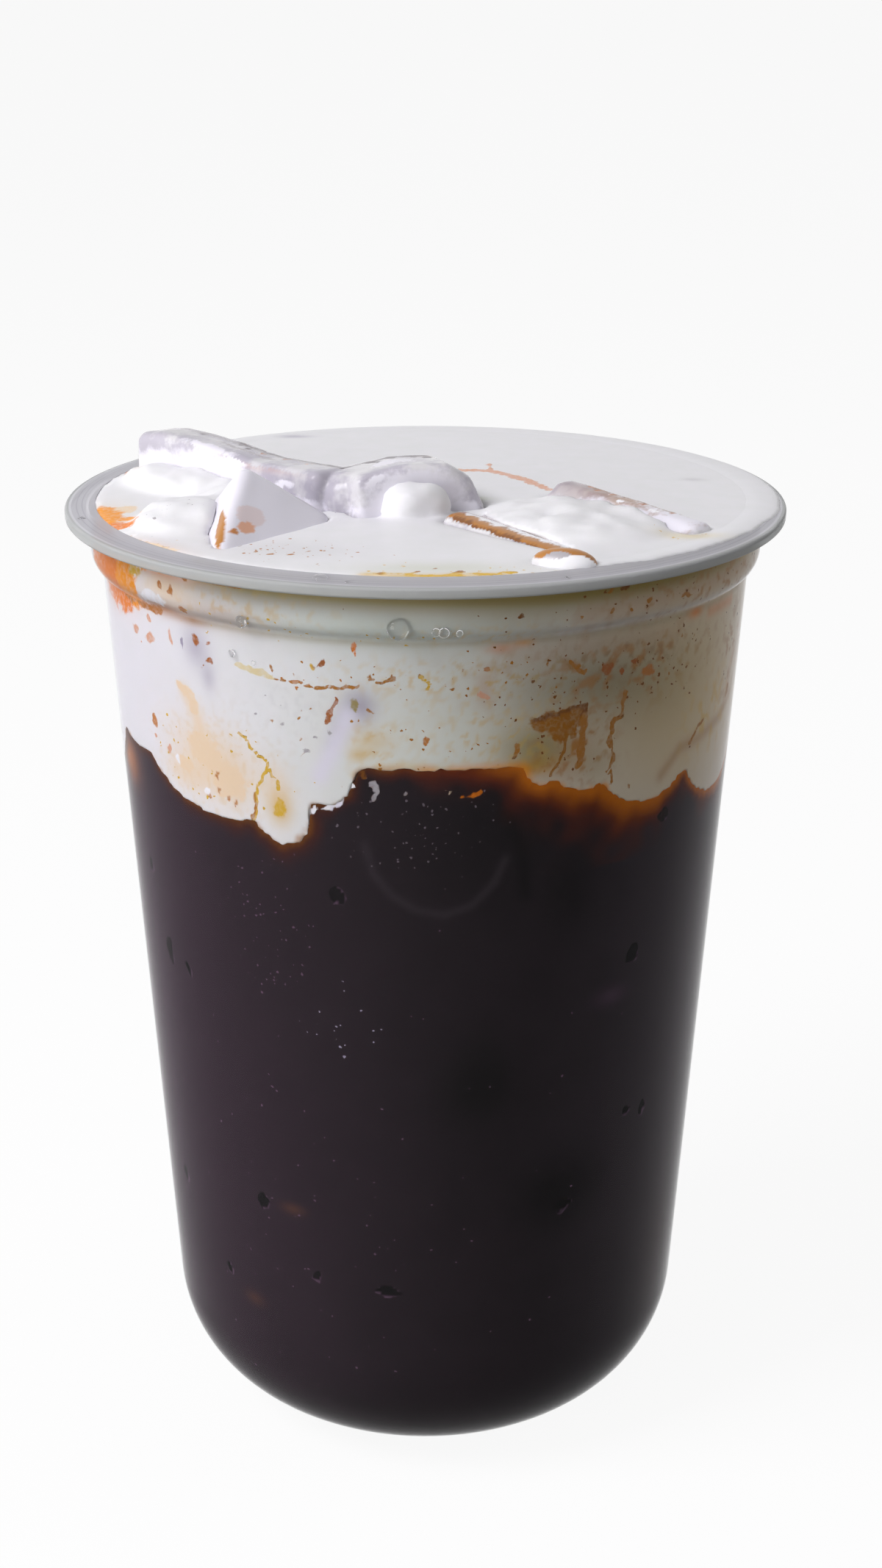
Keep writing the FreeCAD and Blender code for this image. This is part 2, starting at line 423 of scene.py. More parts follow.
Mark = Patch | Stroke | Spots | Blot
FAR = 99.0
FAINT = 0.02


@dataclass
class Painter:
    """Lays washes, marks and grain on a piece of the drink as colour attributes.

    A wash fades out softly and its alpha is its weight. A mark's alpha is a slope that passes
    a half at the mark's edge, so that the finish can cut it sharply. The alpha of the grain is
    the share of fine specks.
    """

    points: np.ndarray
    on_side: np.ndarray
    sway: float = 0.55

    def __post_init__(self) -> None:
        """Works out where each point is on either face, and how far marks waver there."""
        self.bearing = bearings(self.points)
        self.x, self.y, self.z = (self.points / MM).T
        self.scale = math.radians(float(np.percentile(np.hypot(self.x, self.y), 90)))
        self.waver = self.sway * np.stack([
            layered_noise(self.points, (1.7 * MM, seed, 1.0), (0.7 * MM, seed, 0.5))
            for seed in (2.6, 8.1)], axis=1)
        self.wash, self.mark, self.grain = np.zeros((3, len(self.points), 4))
        self.mark[:, :3] = Tone.BROWN.colour
        self.grain[:, :3] = Tone.TOFFEE.colour

    def distance(self, mark: Mark, waver: float = 0.0) -> np.ndarray:
        """Measures how far each point is from a mark.

        Args:
            mark: the mark, whose edge is at 1.
            waver: how much of the wavering its outline gets.

        Returns:
            The distance of each point, far away on the other face.
        """
        if isinstance(mark, Blot):
            away = (self.points / MM - np.array(mark.middle)) / np.array(mark.size)
            return np.linalg.norm(away, axis=1)
        aside, over = self.waver.T * waver
        if mark.face is Face.SIDE:
            gap = mark.distance(self.bearing + aside / self.scale, self.z + over, self.scale)
            return np.where(self.on_side, gap, FAR)
        return np.where(self.on_side, FAR, mark.distance(self.x + aside, self.y + over, 1.0))

    def blend(self, weight: np.ndarray, tone: Tone) -> None:
        """Mixes one tone into the wash by a weight at each point."""
        old = self.wash[:, 3] * (1 - weight)
        total = old + weight
        safe = np.maximum(total, 1e-6)[:, None]
        self.wash[:, :3] = (self.wash[:, :3] * old[:, None] + tone.colour * weight[:, None]) / safe
        self.wash[:, 3] = total

    def lay_washes(self, washes: list[Mark]) -> None:
        """Lays soft stains and painted light one over the other."""
        for wash in washes:
            weight = wash.strength * np.exp(-self.distance(wash) ** 2)
            if isinstance(wash, Patch) and wash.cloud:
                near = weight > FAINT
                size = wash.cloud * MM
                puffs = layered_noise(self.points[near], (size, 4.4, 1.0), (0.4 * size, 9.2, 0.5))
                weight[near] *= ease(puffs, 0.0, 0.55)
            self.blend(weight, wash.tone)

    def lay_marks(self, marks: list[Mark]) -> None:
        """Lays sharp stains and painted highlights, where the nearest one gives the colour."""
        for mark in marks:
            slope = mark.strength * np.clip(1 - 0.5 * self.distance(mark, 1.0), 0, 1)
            higher = slope > self.mark[:, 3]
            self.mark[higher, :3] = mark.tone.colour
            self.mark[higher, 3] = slope[higher]

    def lay_grain(self, areas: list[Mark]) -> None:
        """Says how thickly fine specks are strewn, and in which colour."""
        for area in areas:
            share = area.strength * np.exp(-self.distance(area) ** 2)
            higher = share > self.grain[:, 3]
            self.grain[higher, :3] = area.tone.colour
            self.grain[higher, 3] = share[higher]

    def store(self, piece: bpy.types.Object) -> None:
        """Writes the attributes to the mesh."""
        for name, values in (("wash", self.wash), ("mark", self.mark), ("grain", self.grain)):
            attribute = piece.data.attributes.new(name, "FLOAT_COLOR", "POINT")
            attribute.data.foreach_set("color", values.astype(np.float32).ravel())


# ---------------------------------------------------------------- finishes
def stains_and_painted_light(
    tree: bpy.types.NodeTree, base: bpy.types.NodeSocket, ragged: float, fineness: float,
    speck: float,
) -> bpy.types.NodeSocket:
    """Lays the wash, the marks with ragged edges and the grain over a base colour: stains, with
    painted light where washes and marks carry it.

    Args:
        tree: the node tree to add to.
        base: the colour under them.
        ragged: how far noise pushes the marks' edges.
        fineness: the scale of that noise.
        speck: the size of the grain's specks.

    Returns:
        The stained colour.
    """
    place = add_node(tree, "ShaderNodeTexCoord").outputs["Object"]
    wash = add_node(tree, "ShaderNodeAttribute", attribute_name="wash")
    mark = add_node(tree, "ShaderNodeAttribute", attribute_name="mark")
    grain = add_node(tree, "ShaderNodeAttribute", attribute_name="grain")
    washed = add_node(tree, "ShaderNodeMix", {
        "Factor": wash.outputs["Alpha"], 6: base, 7: wash.outputs["Color"]}, data_type="RGBA")
    tremble = add_node(tree, "ShaderNodeTexNoise", {"Vector": place, "Scale": 2.0 / MM})
    shaken = add_node(tree, "ShaderNodeVectorMath", {
        0: tremble.outputs["Color"], 1: (1.1 * speck,) * 3, 2: place}, operation="MULTIPLY_ADD")
    cells = add_node(tree, "ShaderNodeTexVoronoi", {
        "Vector": shaken, "Scale": 1 / speck})
    cast = add_node(tree, "ShaderNodeSeparateColor", {"Color": cells.outputs["Color"]})
    chosen = add_node(tree, "ShaderNodeMath", {
        0: cast, 1: grain.outputs["Alpha"]}, operation="LESS_THAN")
    width = add_node(tree, "ShaderNodeMath", {0: cast.outputs[1], 1: 0.34}, operation="MULTIPLY")
    inside = add_node(tree, "ShaderNodeMath", {
        0: cells.outputs["Distance"], 1: width}, operation="LESS_THAN")
    both = add_node(tree, "ShaderNodeMath", {
        0: chosen, 1: inside}, operation="MULTIPLY")
    grained = add_node(tree, "ShaderNodeMix", {
        "Factor": both, 6: washed.outputs[2], 7: grain.outputs["Color"],
    }, data_type="RGBA")
    edge = add_node(tree, "ShaderNodeTexNoise", {
        "Vector": place, "Scale": fineness, "Detail": 5.0, "Roughness": 0.72})
    pushed = add_node(tree, "ShaderNodeMath", {
        0: edge.outputs["Fac"], 1: ragged * 2, 2: mark.outputs["Alpha"],
    }, operation="MULTIPLY_ADD")
    cut = add_node(tree, "ShaderNodeMapRange", {
        "Value": pushed, "From Min": 0.40 + ragged, "From Max": 0.60 + ragged,
    }, interpolation_type="SMOOTHSTEP")
    thin = add_node(tree, "ShaderNodeTexNoise", {
        "Vector": place, "Scale": fineness * 1.7, "Detail": 3.0, "Roughness": 0.6})
    body = add_node(tree, "ShaderNodeMapRange", {
        "Value": thin.outputs["Fac"], "From Min": 0.35, "From Max": 0.55,
        "To Min": 0.7, "To Max": 1.0})
    laid = add_node(tree, "ShaderNodeMath", {
        0: cut, 1: body}, operation="MULTIPLY")
    marked = add_node(tree, "ShaderNodeMix", {
        "Factor": laid, 6: grained.outputs[2], 7: mark.outputs["Color"],
    }, data_type="RGBA")
    return marked.outputs[2]


@dataclass(frozen=True)
class Polypropylene:
    """Clear polypropylene, thermoformed: see-through with a slight milky haze and a soft gloss."""

    name: str = "clear_polypropylene"
    clear: str = "F3F2F5"
    # grey of the lip, partly painted shade for darker surroundings seen through it
    lip: str = "D4D3D8"
    edge: str = "CBCDCC"
    line: str = "C2C2C8"
    # painted highlight along the lip's rounded edge
    bright: str = "E6E6EA"
    haze: float = 0.012
    lip_haze: float = 0.62
    roughness: float = 0.06
    ior: float = 1.08
    brim: float = 123.85 * MM
    lip_start: float = 42.15 * MM
    lip_edge: float = 45.0 * MM

    def make(self) -> bpy.types.Material:
        """Returns the material: clear below, and on the lip greyer, partly painted shade, with
        turned rings and a painted highlight.
        """
        material, tree = new_material(self.name)
        place = add_node(tree, "ShaderNodeTexCoord").outputs["Object"]
        flat = add_node(tree, "ShaderNodeVectorMath", {0: place, 1: (1, 1, 0)}, operation="MULTIPLY")
        radius = add_node(tree, "ShaderNodeVectorMath", {0: flat}, operation="LENGTH")
        out = add_node(tree, "ShaderNodeMapRange", {
            "Value": radius.outputs["Value"], "From Min": self.lip_start, "From Max": self.lip_edge})
        rings = add_node(tree, "ShaderNodeValToRGB", {"Fac": out})
        self.colour_rings(rings.color_ramp)
        beyond = add_node(tree, "ShaderNodeMapRange", {
            "Value": radius.outputs["Value"], "From Min": self.lip_start,
            "From Max": self.lip_start + 0.3 * MM})
        parts = add_node(tree, "ShaderNodeSeparateXYZ", {"Vector": place})
        above = add_node(tree, "ShaderNodeMapRange", {
            "Value": parts.outputs["Z"], "From Min": self.brim - 0.3 * MM,
            "From Max": self.brim - 0.1 * MM})
        on_lip = add_node(tree, "ShaderNodeMath", {
            0: beyond, 1: above}, operation="MAXIMUM")
        # the lip gets a greyer colour, partly painted shade, and the ring colours
        tint = add_node(tree, "ShaderNodeMix", {
            "Factor": on_lip, 6: linear(self.clear), 7: rings.outputs["Color"],
        }, data_type="RGBA")
        depth = add_node(tree, "ShaderNodeMapRange", {
            "Value": on_lip, "To Min": 1 - self.haze, "To Max": 1 - self.lip_haze})
        plastic = add_node(tree, "ShaderNodeBsdfPrincipled", {
            "Base Color": tint.outputs[2], "Roughness": self.roughness, "IOR": self.ior,
            "Transmission Weight": depth, "Specular IOR Level": 0.05,
            "Specular Tint": (0.3, 0.3, 0.32, 1.0),
        })
        show_surface(tree, plastic)
        return material

    def colour_rings(self, ramp: bpy.types.ColorRamp) -> None:
        """Sets the ramp's colours from the mouth out to the lip's edge, with a painted highlight
        band near the edge.
        """
        stops = (
            (0.0, self.lip), (0.20, self.lip), (0.24, self.line),
            (0.28, self.lip), (0.44, self.lip), (0.48, self.line), (0.52, self.lip),
            # the bright stops paint a highlight band along the lip's rounded edge
            (0.70, self.lip), (0.73, self.bright), (0.80, self.bright), (0.84, self.edge),
            (1.0, self.edge),
        )
        while len(ramp.elements) < len(stops):
            ramp.elements.new(0.5)
        for element, (place, code) in zip(ramp.elements, stops):
            element.position = place
            element.color = linear(code)


@dataclass(frozen=True)
class MilkFoam:
    """Whipped milk foam: fine wet bubbles that scatter light, white where thick."""

    name: str = "milk_foam"
    white: str = "F3F1F5"
    shade: str = "E9EAE9"
    roughness: float = 0.4
    mottle_size: float = 3.2 * MM

    def make(self) -> bpy.types.Material:
        """Returns the material, with washes, sharp marks and fine specks of coffee."""
        material, tree = new_material(self.name)
        place = add_node(tree, "ShaderNodeTexCoord").outputs["Object"]
        mottle = add_node(tree, "ShaderNodeTexNoise", {
            "Vector": place, "Scale": 1 / self.mottle_size, "Detail": 5.0, "Roughness": 0.6})
        milk = add_node(tree, "ShaderNodeMix", {
            "Factor": mottle.outputs["Fac"], 6: linear(self.white), 7: linear(self.shade),
        }, data_type="RGBA")
        fine = add_node(tree, "ShaderNodeTexNoise", {
            "Vector": place, "Scale": 2.4 / MM, "Detail": 3.0, "Roughness": 0.5})
        relief = add_node(tree, "ShaderNodeBump", {
            "Height": fine.outputs["Fac"], "Distance": 0.04 * MM, "Strength": 0.2})
        foam = add_node(tree, "ShaderNodeBsdfPrincipled", {
            "Base Color": stains_and_painted_light(tree, milk.outputs[2], 0.4, 0.9 / MM, 0.62 * MM),
            "Roughness": self.roughness, "Specular IOR Level": 0.15, "Subsurface Weight": 0.05,
            "Subsurface Radius": (1.0, 0.85, 0.7), "Subsurface Scale": 1.2 * MM,
            "Normal": relief.outputs["Normal"],
        })
        show_surface(tree, foam)
        return material


@dataclass(frozen=True)
class BlackCoffee:
    """Cold brew against the wall: nearly black, faintly violet, with smoky patches and painted
    sheen.
    """

    name: str = "black_coffee"
    dark: str = "171214"
    light: str = "292025"
    roughness: float = 0.4

    def make(self) -> bpy.types.Material:
        """Returns the material, with washes, marks and pale specks over a slow mottle."""
        material, tree = new_material(self.name)
        place = add_node(tree, "ShaderNodeTexCoord").outputs["Object"]
        mottle = add_node(tree, "ShaderNodeTexNoise", {
            "Vector": place, "Scale": 1 / (11 * MM), "Detail": 6.0, "Roughness": 0.62})
        brew = add_node(tree, "ShaderNodeMix", {
            "Factor": mottle.outputs["Fac"], 6: linear(self.dark), 7: linear(self.light),
        }, data_type="RGBA")
        drink = add_node(tree, "ShaderNodeBsdfPrincipled", {
            "Base Color": stains_and_painted_light(tree, brew.outputs[2], 0.4, 0.6 / MM, 0.5 * MM),
            "Roughness": self.roughness, "Specular IOR Level": 0.02,
        })
        show_surface(tree, drink)
        return material


@dataclass(frozen=True)
class MeltingIce:
    """Melting ice: wet and glassy, faintly grey-violet, with milk film and coffee stains."""

    name: str = "ice"
    colour: str = "D9D4E0"
    milky: str = "FFFDFF"
    roughness: float = 0.12

    def make(self) -> bpy.types.Material:
        """Returns the material, glassy where no foam clings to it."""
        material, tree = new_material(self.name)
        place = add_node(tree, "ShaderNodeTexCoord").outputs["Object"]
        wash = add_node(tree, "ShaderNodeAttribute", attribute_name="wash")
        frost = add_node(tree, "ShaderNodeTexNoise", {
            "Vector": place, "Scale": 0.2 / MM, "Detail": 4.0, "Roughness": 0.6})
        milky = add_node(tree, "ShaderNodeMapRange", {
            "Value": frost.outputs["Fac"], "From Min": 0.44, "From Max": 0.56})
        body = add_node(tree, "ShaderNodeMix", {
            "Factor": milky, 6: linear(self.colour), 7: linear(self.milky),
        }, data_type="RGBA")
        tint = add_node(tree, "ShaderNodeMix", {
            "Factor": wash.outputs["Alpha"], 6: body.outputs[2], 7: wash.outputs["Color"],
        }, data_type="RGBA")
        waves = add_node(tree, "ShaderNodeTexNoise", {
            "Vector": place, "Scale": 0.35 / MM, "Detail": 3.0})
        relief = add_node(tree, "ShaderNodeBump", {
            "Height": waves.outputs["Fac"], "Distance": 0.3 * MM, "Strength": 0.14})
        glassy = add_node(tree, "ShaderNodeBsdfPrincipled", {
            "Base Color": tint.outputs[2], "Roughness": self.roughness, "IOR": 1.31,
            "Transmission Weight": 0.28, "Normal": relief.outputs["Normal"],
        })
        mark = add_node(tree, "ShaderNodeAttribute", attribute_name="mark")
        edge = add_node(tree, "ShaderNodeTexNoise", {
            "Vector": place, "Scale": 0.7 / MM, "Detail": 4.0, "Roughness": 0.65})
        pushed = add_node(tree, "ShaderNodeMath", {
            0: edge.outputs["Fac"], 1: 0.5, 2: mark.outputs["Alpha"]}, operation="MULTIPLY_ADD")
        cover = add_node(tree, "ShaderNodeMapRange", {
            "Value": pushed, "From Min": 0.62, "From Max": 0.88,
        }, interpolation_type="SMOOTHSTEP")
        film = add_node(tree, "ShaderNodeBsdfPrincipled", {
            "Base Color": mark.outputs["Color"], "Roughness": 0.3,
            "Subsurface Weight": 0.15, "Subsurface Radius": (1.0, 0.9, 0.8),
            "Subsurface Scale": 0.8 * MM,
        })
        both = add_node(tree, "ShaderNodeMixShader", {
            0: cover, 1: glassy, 2: film})
        show_surface(tree, both)
        return material


@dataclass(frozen=True)
class Water:
    """Drops of condensed water."""

    name: str = "water"

    def make(self) -> bpy.types.Material:
        """Returns the clear, smooth material."""
        material, tree = new_material(self.name)
        drop = add_node(tree, "ShaderNodeBsdfPrincipled", {
            "Base Color": (1, 1, 1, 1), "Roughness": 0.02, "IOR": 1.33,
            "Transmission Weight": 1.0,
        })
        show_surface(tree, drop)
        return material


# ---------------------------------------------------------------- the cup
@dataclass
class Cup:
    """The thermoformed cup, turned again from the CAD outline in finer steps."""

    node: str = "cup"
    steps: int = 288
    collar_reach: float = 1.5 * MM
    lip_depth: float = 0.5 * MM
    crease: float = math.radians(40)
    outline: list[tuple[float, float]] = field(default_factory=list)

    def __post_init__(self) -> None:
        """Reads the outline off the CAD cup, from under the floor round the lip to the floor."""
        shape = bmesh.new()
        shape.from_mesh(NODES[self.node].data)
        bmesh.ops.remove_doubles(shape, verts=shape.verts, dist=0.001 * MM)
        near = 0.0001 * MM
        seam = {v for v in shape.verts if abs(v.co.y) < near and v.co.x > -near}
        beside = {
            v: [e.other_vert(v) for e in v.link_edges if e.other_vert(v) in seam] for v in seam}
        ends = sorted((v for v in seam if len(beside[v]) == 1), key=lambda v: v.co.z)
        last, here = None, ends[0]
        while here is not None:
            self.outline.append((here.co.x, here.co.z))
            following = [v for v in beside[here] if v is not last]
            last, here = here, following[0] if following else None
        shape.free()
        for place in (0, len(self.outline)):
            edge = self.outline[min(place, len(self.outline) - 1)]
            if edge[0] > near:
                self.outline.insert(place, (0.0, edge[1]))
        self.outline = [(max(r, 0.0), z) for r, z in self.outline]
        self.mouth = max(
            range(len(self.outline)), key=lambda i: (self.outline[i][1], -self.outline[i][0]))
        self.brim = self.outline[self.mouth][1]
        self.rim = max(r for r, _ in self.outline)

    def inner(self, height: np.ndarray | float) -> np.ndarray:
        """Returns the radius of the inside at each height."""
        chain = sorted(self.outline[self.mouth:], key=lambda point: (point[1], point[0]))
        return np.interp(height, [z for _, z in chain], [r for r, _ in chain])

    def outer(self, height: np.ndarray | float) -> np.ndarray:
        """Returns the radius of the wall's outside at each height, up to the lip."""
        collar = float(self.inner(self.brim)) + self.collar_reach
        chain = [point for point in self.outline[1:self.mouth] if point[0] < collar]
        chain.sort(key=lambda point: (point[1], point[0]))
        return np.interp(height, [z for _, z in chain], [r for r, _ in chain])

    def lip(self, radius: np.ndarray | float) -> np.ndarray:
        """Returns the height of the lip's top at each radius."""
        chain = [point for point in self.outline if point[1] > self.brim - self.lip_depth]
        chain.sort()
        return np.interp(radius, [r for r, _ in chain], [z for _, z in chain])

    def build(self) -> bpy.types.Object:
        """Spins the outline into the cup.

        Returns:
            The new piece, which stands for the CAD cup.
        """
        edges = [(i, i + 1) for i in range(len(self.outline) - 1)]
        piece = make_mesh("cup_clear", [(r, 0, z) for r, z in self.outline], edges, [])
        bpy.ops.object.mode_set(mode="EDIT")
        bpy.ops.mesh.select_all(action="SELECT")
        bpy.ops.mesh.spin(steps=self.steps, angle=math.tau, center=(0, 0, 0), axis=(0, 0, 1))
        bpy.ops.mesh.select_all(action="SELECT")
        bpy.ops.mesh.remove_doubles(threshold=0.002 * MM)
        bpy.ops.mesh.normals_make_consistent(inside=False)
        bpy.ops.object.mode_set(mode="OBJECT")
        bpy.ops.object.shade_smooth_by_angle(angle=self.crease)
        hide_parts(self.node)
        return piece


# ---------------------------------------------------------------- the drink
def push_out(
    points: np.ndarray, wall: np.ndarray, near: np.ndarray, cling: np.ndarray | float
) -> None:
    """Moves points outward, until they lie a little beyond the wall's inside.

    Args:
        points: the points, which are changed in place.
        wall: the radius of the inside at each point's height.
        near: how far each point takes part, from 0 to 1.
        cling: how far beyond the inside they end.
    """
    radius = np.hypot(points[:, 0], points[:, 1])
    grown = radius + near * (wall + cling - radius)
    points[:, :2] *= (grown / np.maximum(radius, 1e-9))[:, None]


def refine_front(
    piece: bpy.types.Object, cup: Cup, front: float, skin: float = 0.0, floor: float = 0.0
) -> None:
    """Cuts the facets by the wall that face the front in four, for finer stains.

    Args:
        piece: the foam or the coffee.
        cup: the cup round it.
        front: the largest bearing to either side that is cut, in degrees.
        skin: how far inside the wall a facet may lie.
        floor: the height below which none is cut.
    """
    activate(piece)
    for polygon in piece.data.polygons:
        centre = polygon.center
        radius = math.hypot(centre.x, centre.y)
        bearing = abs(math.degrees(math.atan2(centre.x, -centre.y)))
        outside = radius > float(cup.inner(centre.z)) - skin
        polygon.select = bearing < front and outside and centre.z > floor
    bpy.ops.object.mode_set(mode="EDIT")
    bpy.ops.mesh.select_mode(type="FACE")
    bpy.ops.mesh.subdivide(number_cuts=1, smoothness=0)
    bpy.ops.object.mode_set(mode="OBJECT")


SIDE, TOP = Face.SIDE, Face.TOP


def patches(face: Face, tone: Tone, rows: tuple[tuple[float, ...], ...]) -> list[Patch]:
    """Returns patches of one tone on one face.

    Args:
        face: the face they lie on.
        tone: their tone.
        rows: for each its middle across and up, its half length and half width, and where they
            are not the usual ones its strength, turn and cloud size.
    """
    return [Patch(face, (x, y), (long, wide), tone, *rest) for x, y, long, wide, *rest in rows]


FOAM_WASHES: list[Mark] = [
    # The three broad hues of the side, left to right, partly painted light: a lavender cast on the
    # lit left, warmer duller tones to the shaded right
    Patch(SIDE, (-72, 104), (24, 24), Tone.VIOLET, 0.3),
    Patch(SIDE, (4, 104), (20, 18), Tone.MILK, 0.7),
    Patch(SIDE, (50, 106), (24, 22), Tone.SAND, 0.95),
    Patch(SIDE, (88, 106), (14, 22), Tone.PEACH, 0.7),
    # Painted shadow of the lip on the collar, olive like the stain there; painted shade in the
    # step's corner, a painted highlight under it
    # painted shadow under the lip, tinted olive like a coffee stain
    Stroke(SIDE, ((-38, 122.2), (-28, 121.6), (-10, 121.4), (20, 121.0), (80, 121.2)), 1.75,
           Tone.OLIVE, 0.95),
    Patch(SIDE, (-8, 117.7), (17, 2.2), Tone.MILK, 0.9),
    Patch(SIDE, (15, 119.0), (8, 2.0), Tone.OLIVE, 0.25),
    # painted shade in the concave corner under the step
    Stroke(SIDE, ((-42, 115.9), (-20, 115.9), (10, 115.9), (40, 115.6), (70, 115.6)), 0.45,
           Tone.KHAKI, 0.35),
    # painted highlight along the step's lower edge at the right
    Stroke(SIDE, ((22, 116.6), (45, 116.8), (78, 116.8)), 0.5, Tone.WHITE, 0.35),
    Stroke(SIDE, ((14, 114.2), (30, 114.0), (46, 113.4)), 1.5, Tone.BRICK, 0.16),
    Stroke(SIDE, ((26, 118.6), (46, 118.8), (66, 119.2)), 1.3, Tone.TOFFEE, 0.28),
    Stroke(SIDE, ((57, 114.6), (66, 114.6)), 0.8, Tone.CARAMEL, 0.4),
    *patches(SIDE, Tone.CARAMEL, ((52, 115.3, 1.6, 0.7, 0.7), (12.1, 115.1, 1.6, 0.6, 0.5))),
    Patch(SIDE, (15.9, 115.6), (1.2, 0.5), Tone.AMBER, 0.5),
    # Yellow and brown clouds, and painted shade on the shaded right
    *patches(SIDE, Tone.GOLD, ((-8.8, 104.1, 2.6, 1.6, 0.4), (-11.0, 102.4, 1.4, 0.8, 0.5))),
    Stroke(SIDE, ((-12, 99.8), (-4, 101.2), (8, 100.2)), 0.6, Tone.GOLD, 0.35),
    Patch(SIDE, (17.0, 100.2), (3.0, 1.1), Tone.AMBER, 0.8),
    Patch(SIDE, (19.6, 100.8), (1.8, 0.9), Tone.GOLD, 0.6),
    Patch(SIDE, (24.5, 101.6), (3.4, 3.6), Tone.TOFFEE, 0.5),
    # painted shade on the darkest part of the side, tinted like a coffee stain
    Patch(SIDE, (29.0, 109.8), (13.0, 5.0), Tone.MUD, 0.6),
    Patch(SIDE, (30.0, 99.6), (3.0, 2.4), Tone.KHAKI, 0.35),
    Patch(SIDE, (18.6, 102.6), (4.8, 3.4), Tone.OLIVE, 0.75),
    # fainter painted shade further right
    Patch(SIDE, (43, 106.4), (9, 5), Tone.MUD, 0.18),
    Stroke(SIDE, ((73, 101.5), (67, 99.6), (58, 98.6), (51, 98.4), (46, 95.8)), 0.9,
           Tone.TOFFEE, 0.45),
    Stroke(SIDE, ((72, 107), (70, 103)), 1.0, Tone.TOFFEE, 0.35),
    Patch(SIDE, (9.6, 110.6), (1.1, 2.2), Tone.BRICK, 0.3),
    # Fine clouds of coffee
    Patch(SIDE, (36, 110.8), (15, 4.2), Tone.TOFFEE, 0.75, 0, 1.3),
    Patch(SIDE, (30, 112), (12, 2.4), Tone.BROWN, 0.5, 0, 0.9),
    *patches(SIDE, Tone.TOFFEE, (
        (26.5, 102, 5.0, 4.6, 0.9, 0, 1.0), (54, 118.4, 18, 2.4, 0.75, 0, 1.2),
    )),
    Patch(SIDE, (62, 101), (7, 5), Tone.GOLD, 0.6, 0, 1.6),
    Patch(SIDE, (70, 107), (4, 6), Tone.TOFFEE, 0.7, 0, 1.3),
    *patches(SIDE, Tone.GOLD, (
        (5, 111.6, 13, 2.4, 0.5, 0, 0.9), (12, 104.6, 9, 4, 0.45, 0, 0.9),
        (-40, 98, 9, 5.4, 0.5, 0, 0.8),
    )),
    Patch(SIDE, (-22, 107), (9, 5), Tone.GREY, 0.12, 0, 0.8),
    *patches(SIDE, Tone.GOLD, (
        (-8, 104, 4, 3.6, 0.45, 0, 1.1), (-32, 119, 12, 2.0, 0.45, 0, 1.0),
        (8, 117.0, 12, 1.2, 0.4, 0, 0.8),
    )),
    Patch(SIDE, (-35, 117.4), (7, 1.9), Tone.TOFFEE, 0.34),
    # Grey-violet shade of ice behind the foam
    *patches(SIDE, Tone.PLUM, (
        (-41.6, 112.6, 2.2, 2.4, 0.6), (-39.2, 109.2, 1.2, 1.8, 0.45), (-10.8, 108.2, 2.0, 2.0, 0.8),
        (-14.8, 105.4, 1.0, 3.2, 0.3, -20),
    )),
    Stroke(SIDE, ((-12.9, 106.9), (-15.6, 102.6), (-18.0, 99.4)), 1.3, Tone.VIOLET, 0.8),
    # Peach lobe with its yellow spot
    Stroke(SIDE, ((-45.6, 106.4), (-43.4, 104.6), (-42, 102)), 1.1, Tone.PEACH, 0.7),
    *patches(SIDE, Tone.PEACH, ((-39.6, 98.4, 7.4, 4.4, 0.9, -12), (-46.5, 96.0, 4.4, 2.0, 0.7))),
    Patch(SIDE, (-25.8, 94.7), (1.6, 2.2), Tone.GOLD, 0.8),
    Patch(SIDE, (-26.5, 97.5), (2.0, 2.6), Tone.PEACH, 0.5),
    Patch(SIDE, (-35.0, 96.2), (1.2, 2.0), Tone.GOLD, 0.3),
    # Caramel on the collar at the left
    Patch(SIDE, (-46, 119.6), (4.4, 2.4), Tone.PEACH, 0.8),
    Patch(SIDE, (-47, 121.4), (6.0, 0.9), Tone.CARAMEL, 0.6),
    Patch(SIDE, (-49, 116.4), (4.2, 1.0), Tone.BRICK, 0.8),
    Patch(SIDE, (-42, 115.8), (2.4, 0.6), Tone.TOFFEE, 0.6),
    Patch(SIDE, (-72, 115.8), (3.4, 2.6), Tone.BLUSH, 0.5),
    Patch(SIDE, (-64.0, 118.8), (4.4, 3.6), Tone.CARAMEL, 0.8),
    # The top: a breath of warmth at the edges, and the stain at the front rim
    Patch(TOP, (-39.0, -13.0), (2.6, 6.5), Tone.PEACH, 0.6),
    Patch(TOP, (-33.0, -27.0), (6.0, 2.4), Tone.BLUSH, 0.5, -38),
    Patch(TOP, (-36.6, 11.6), (1.4, 3.4), Tone.PEACH, 0.6),
    Patch(TOP, (-15.0, -29.5), (7.5, 4.0), Tone.GREY, 0.2, -12),
    Stroke(TOP, ((-6.5, -40.2), (0.0, -40.9), (8.5, -40.2)), 0.9, Tone.GOLD, 0.8),
    *patches(TOP, Tone.MOSS, ((1.5, -37.6, 9.0, 2.4, 0.35), (4.4, -4.9, 2.6, 1.1, 0.9))),
    Patch(TOP, (-1.0, -15.5), (8, 2.2), Tone.PLUM, 0.14),
    Patch(TOP, (31.0, -22.5), (3.6, 1.6), Tone.STRAW, 0.7),
    Patch(TOP, (34.4, 7.6), (1.4, 0.9), Tone.GREY, 0.4),
    Patch(TOP, (-18.1, 35.6), (2.2, 0.9), Tone.PLUM, 0.6),
]

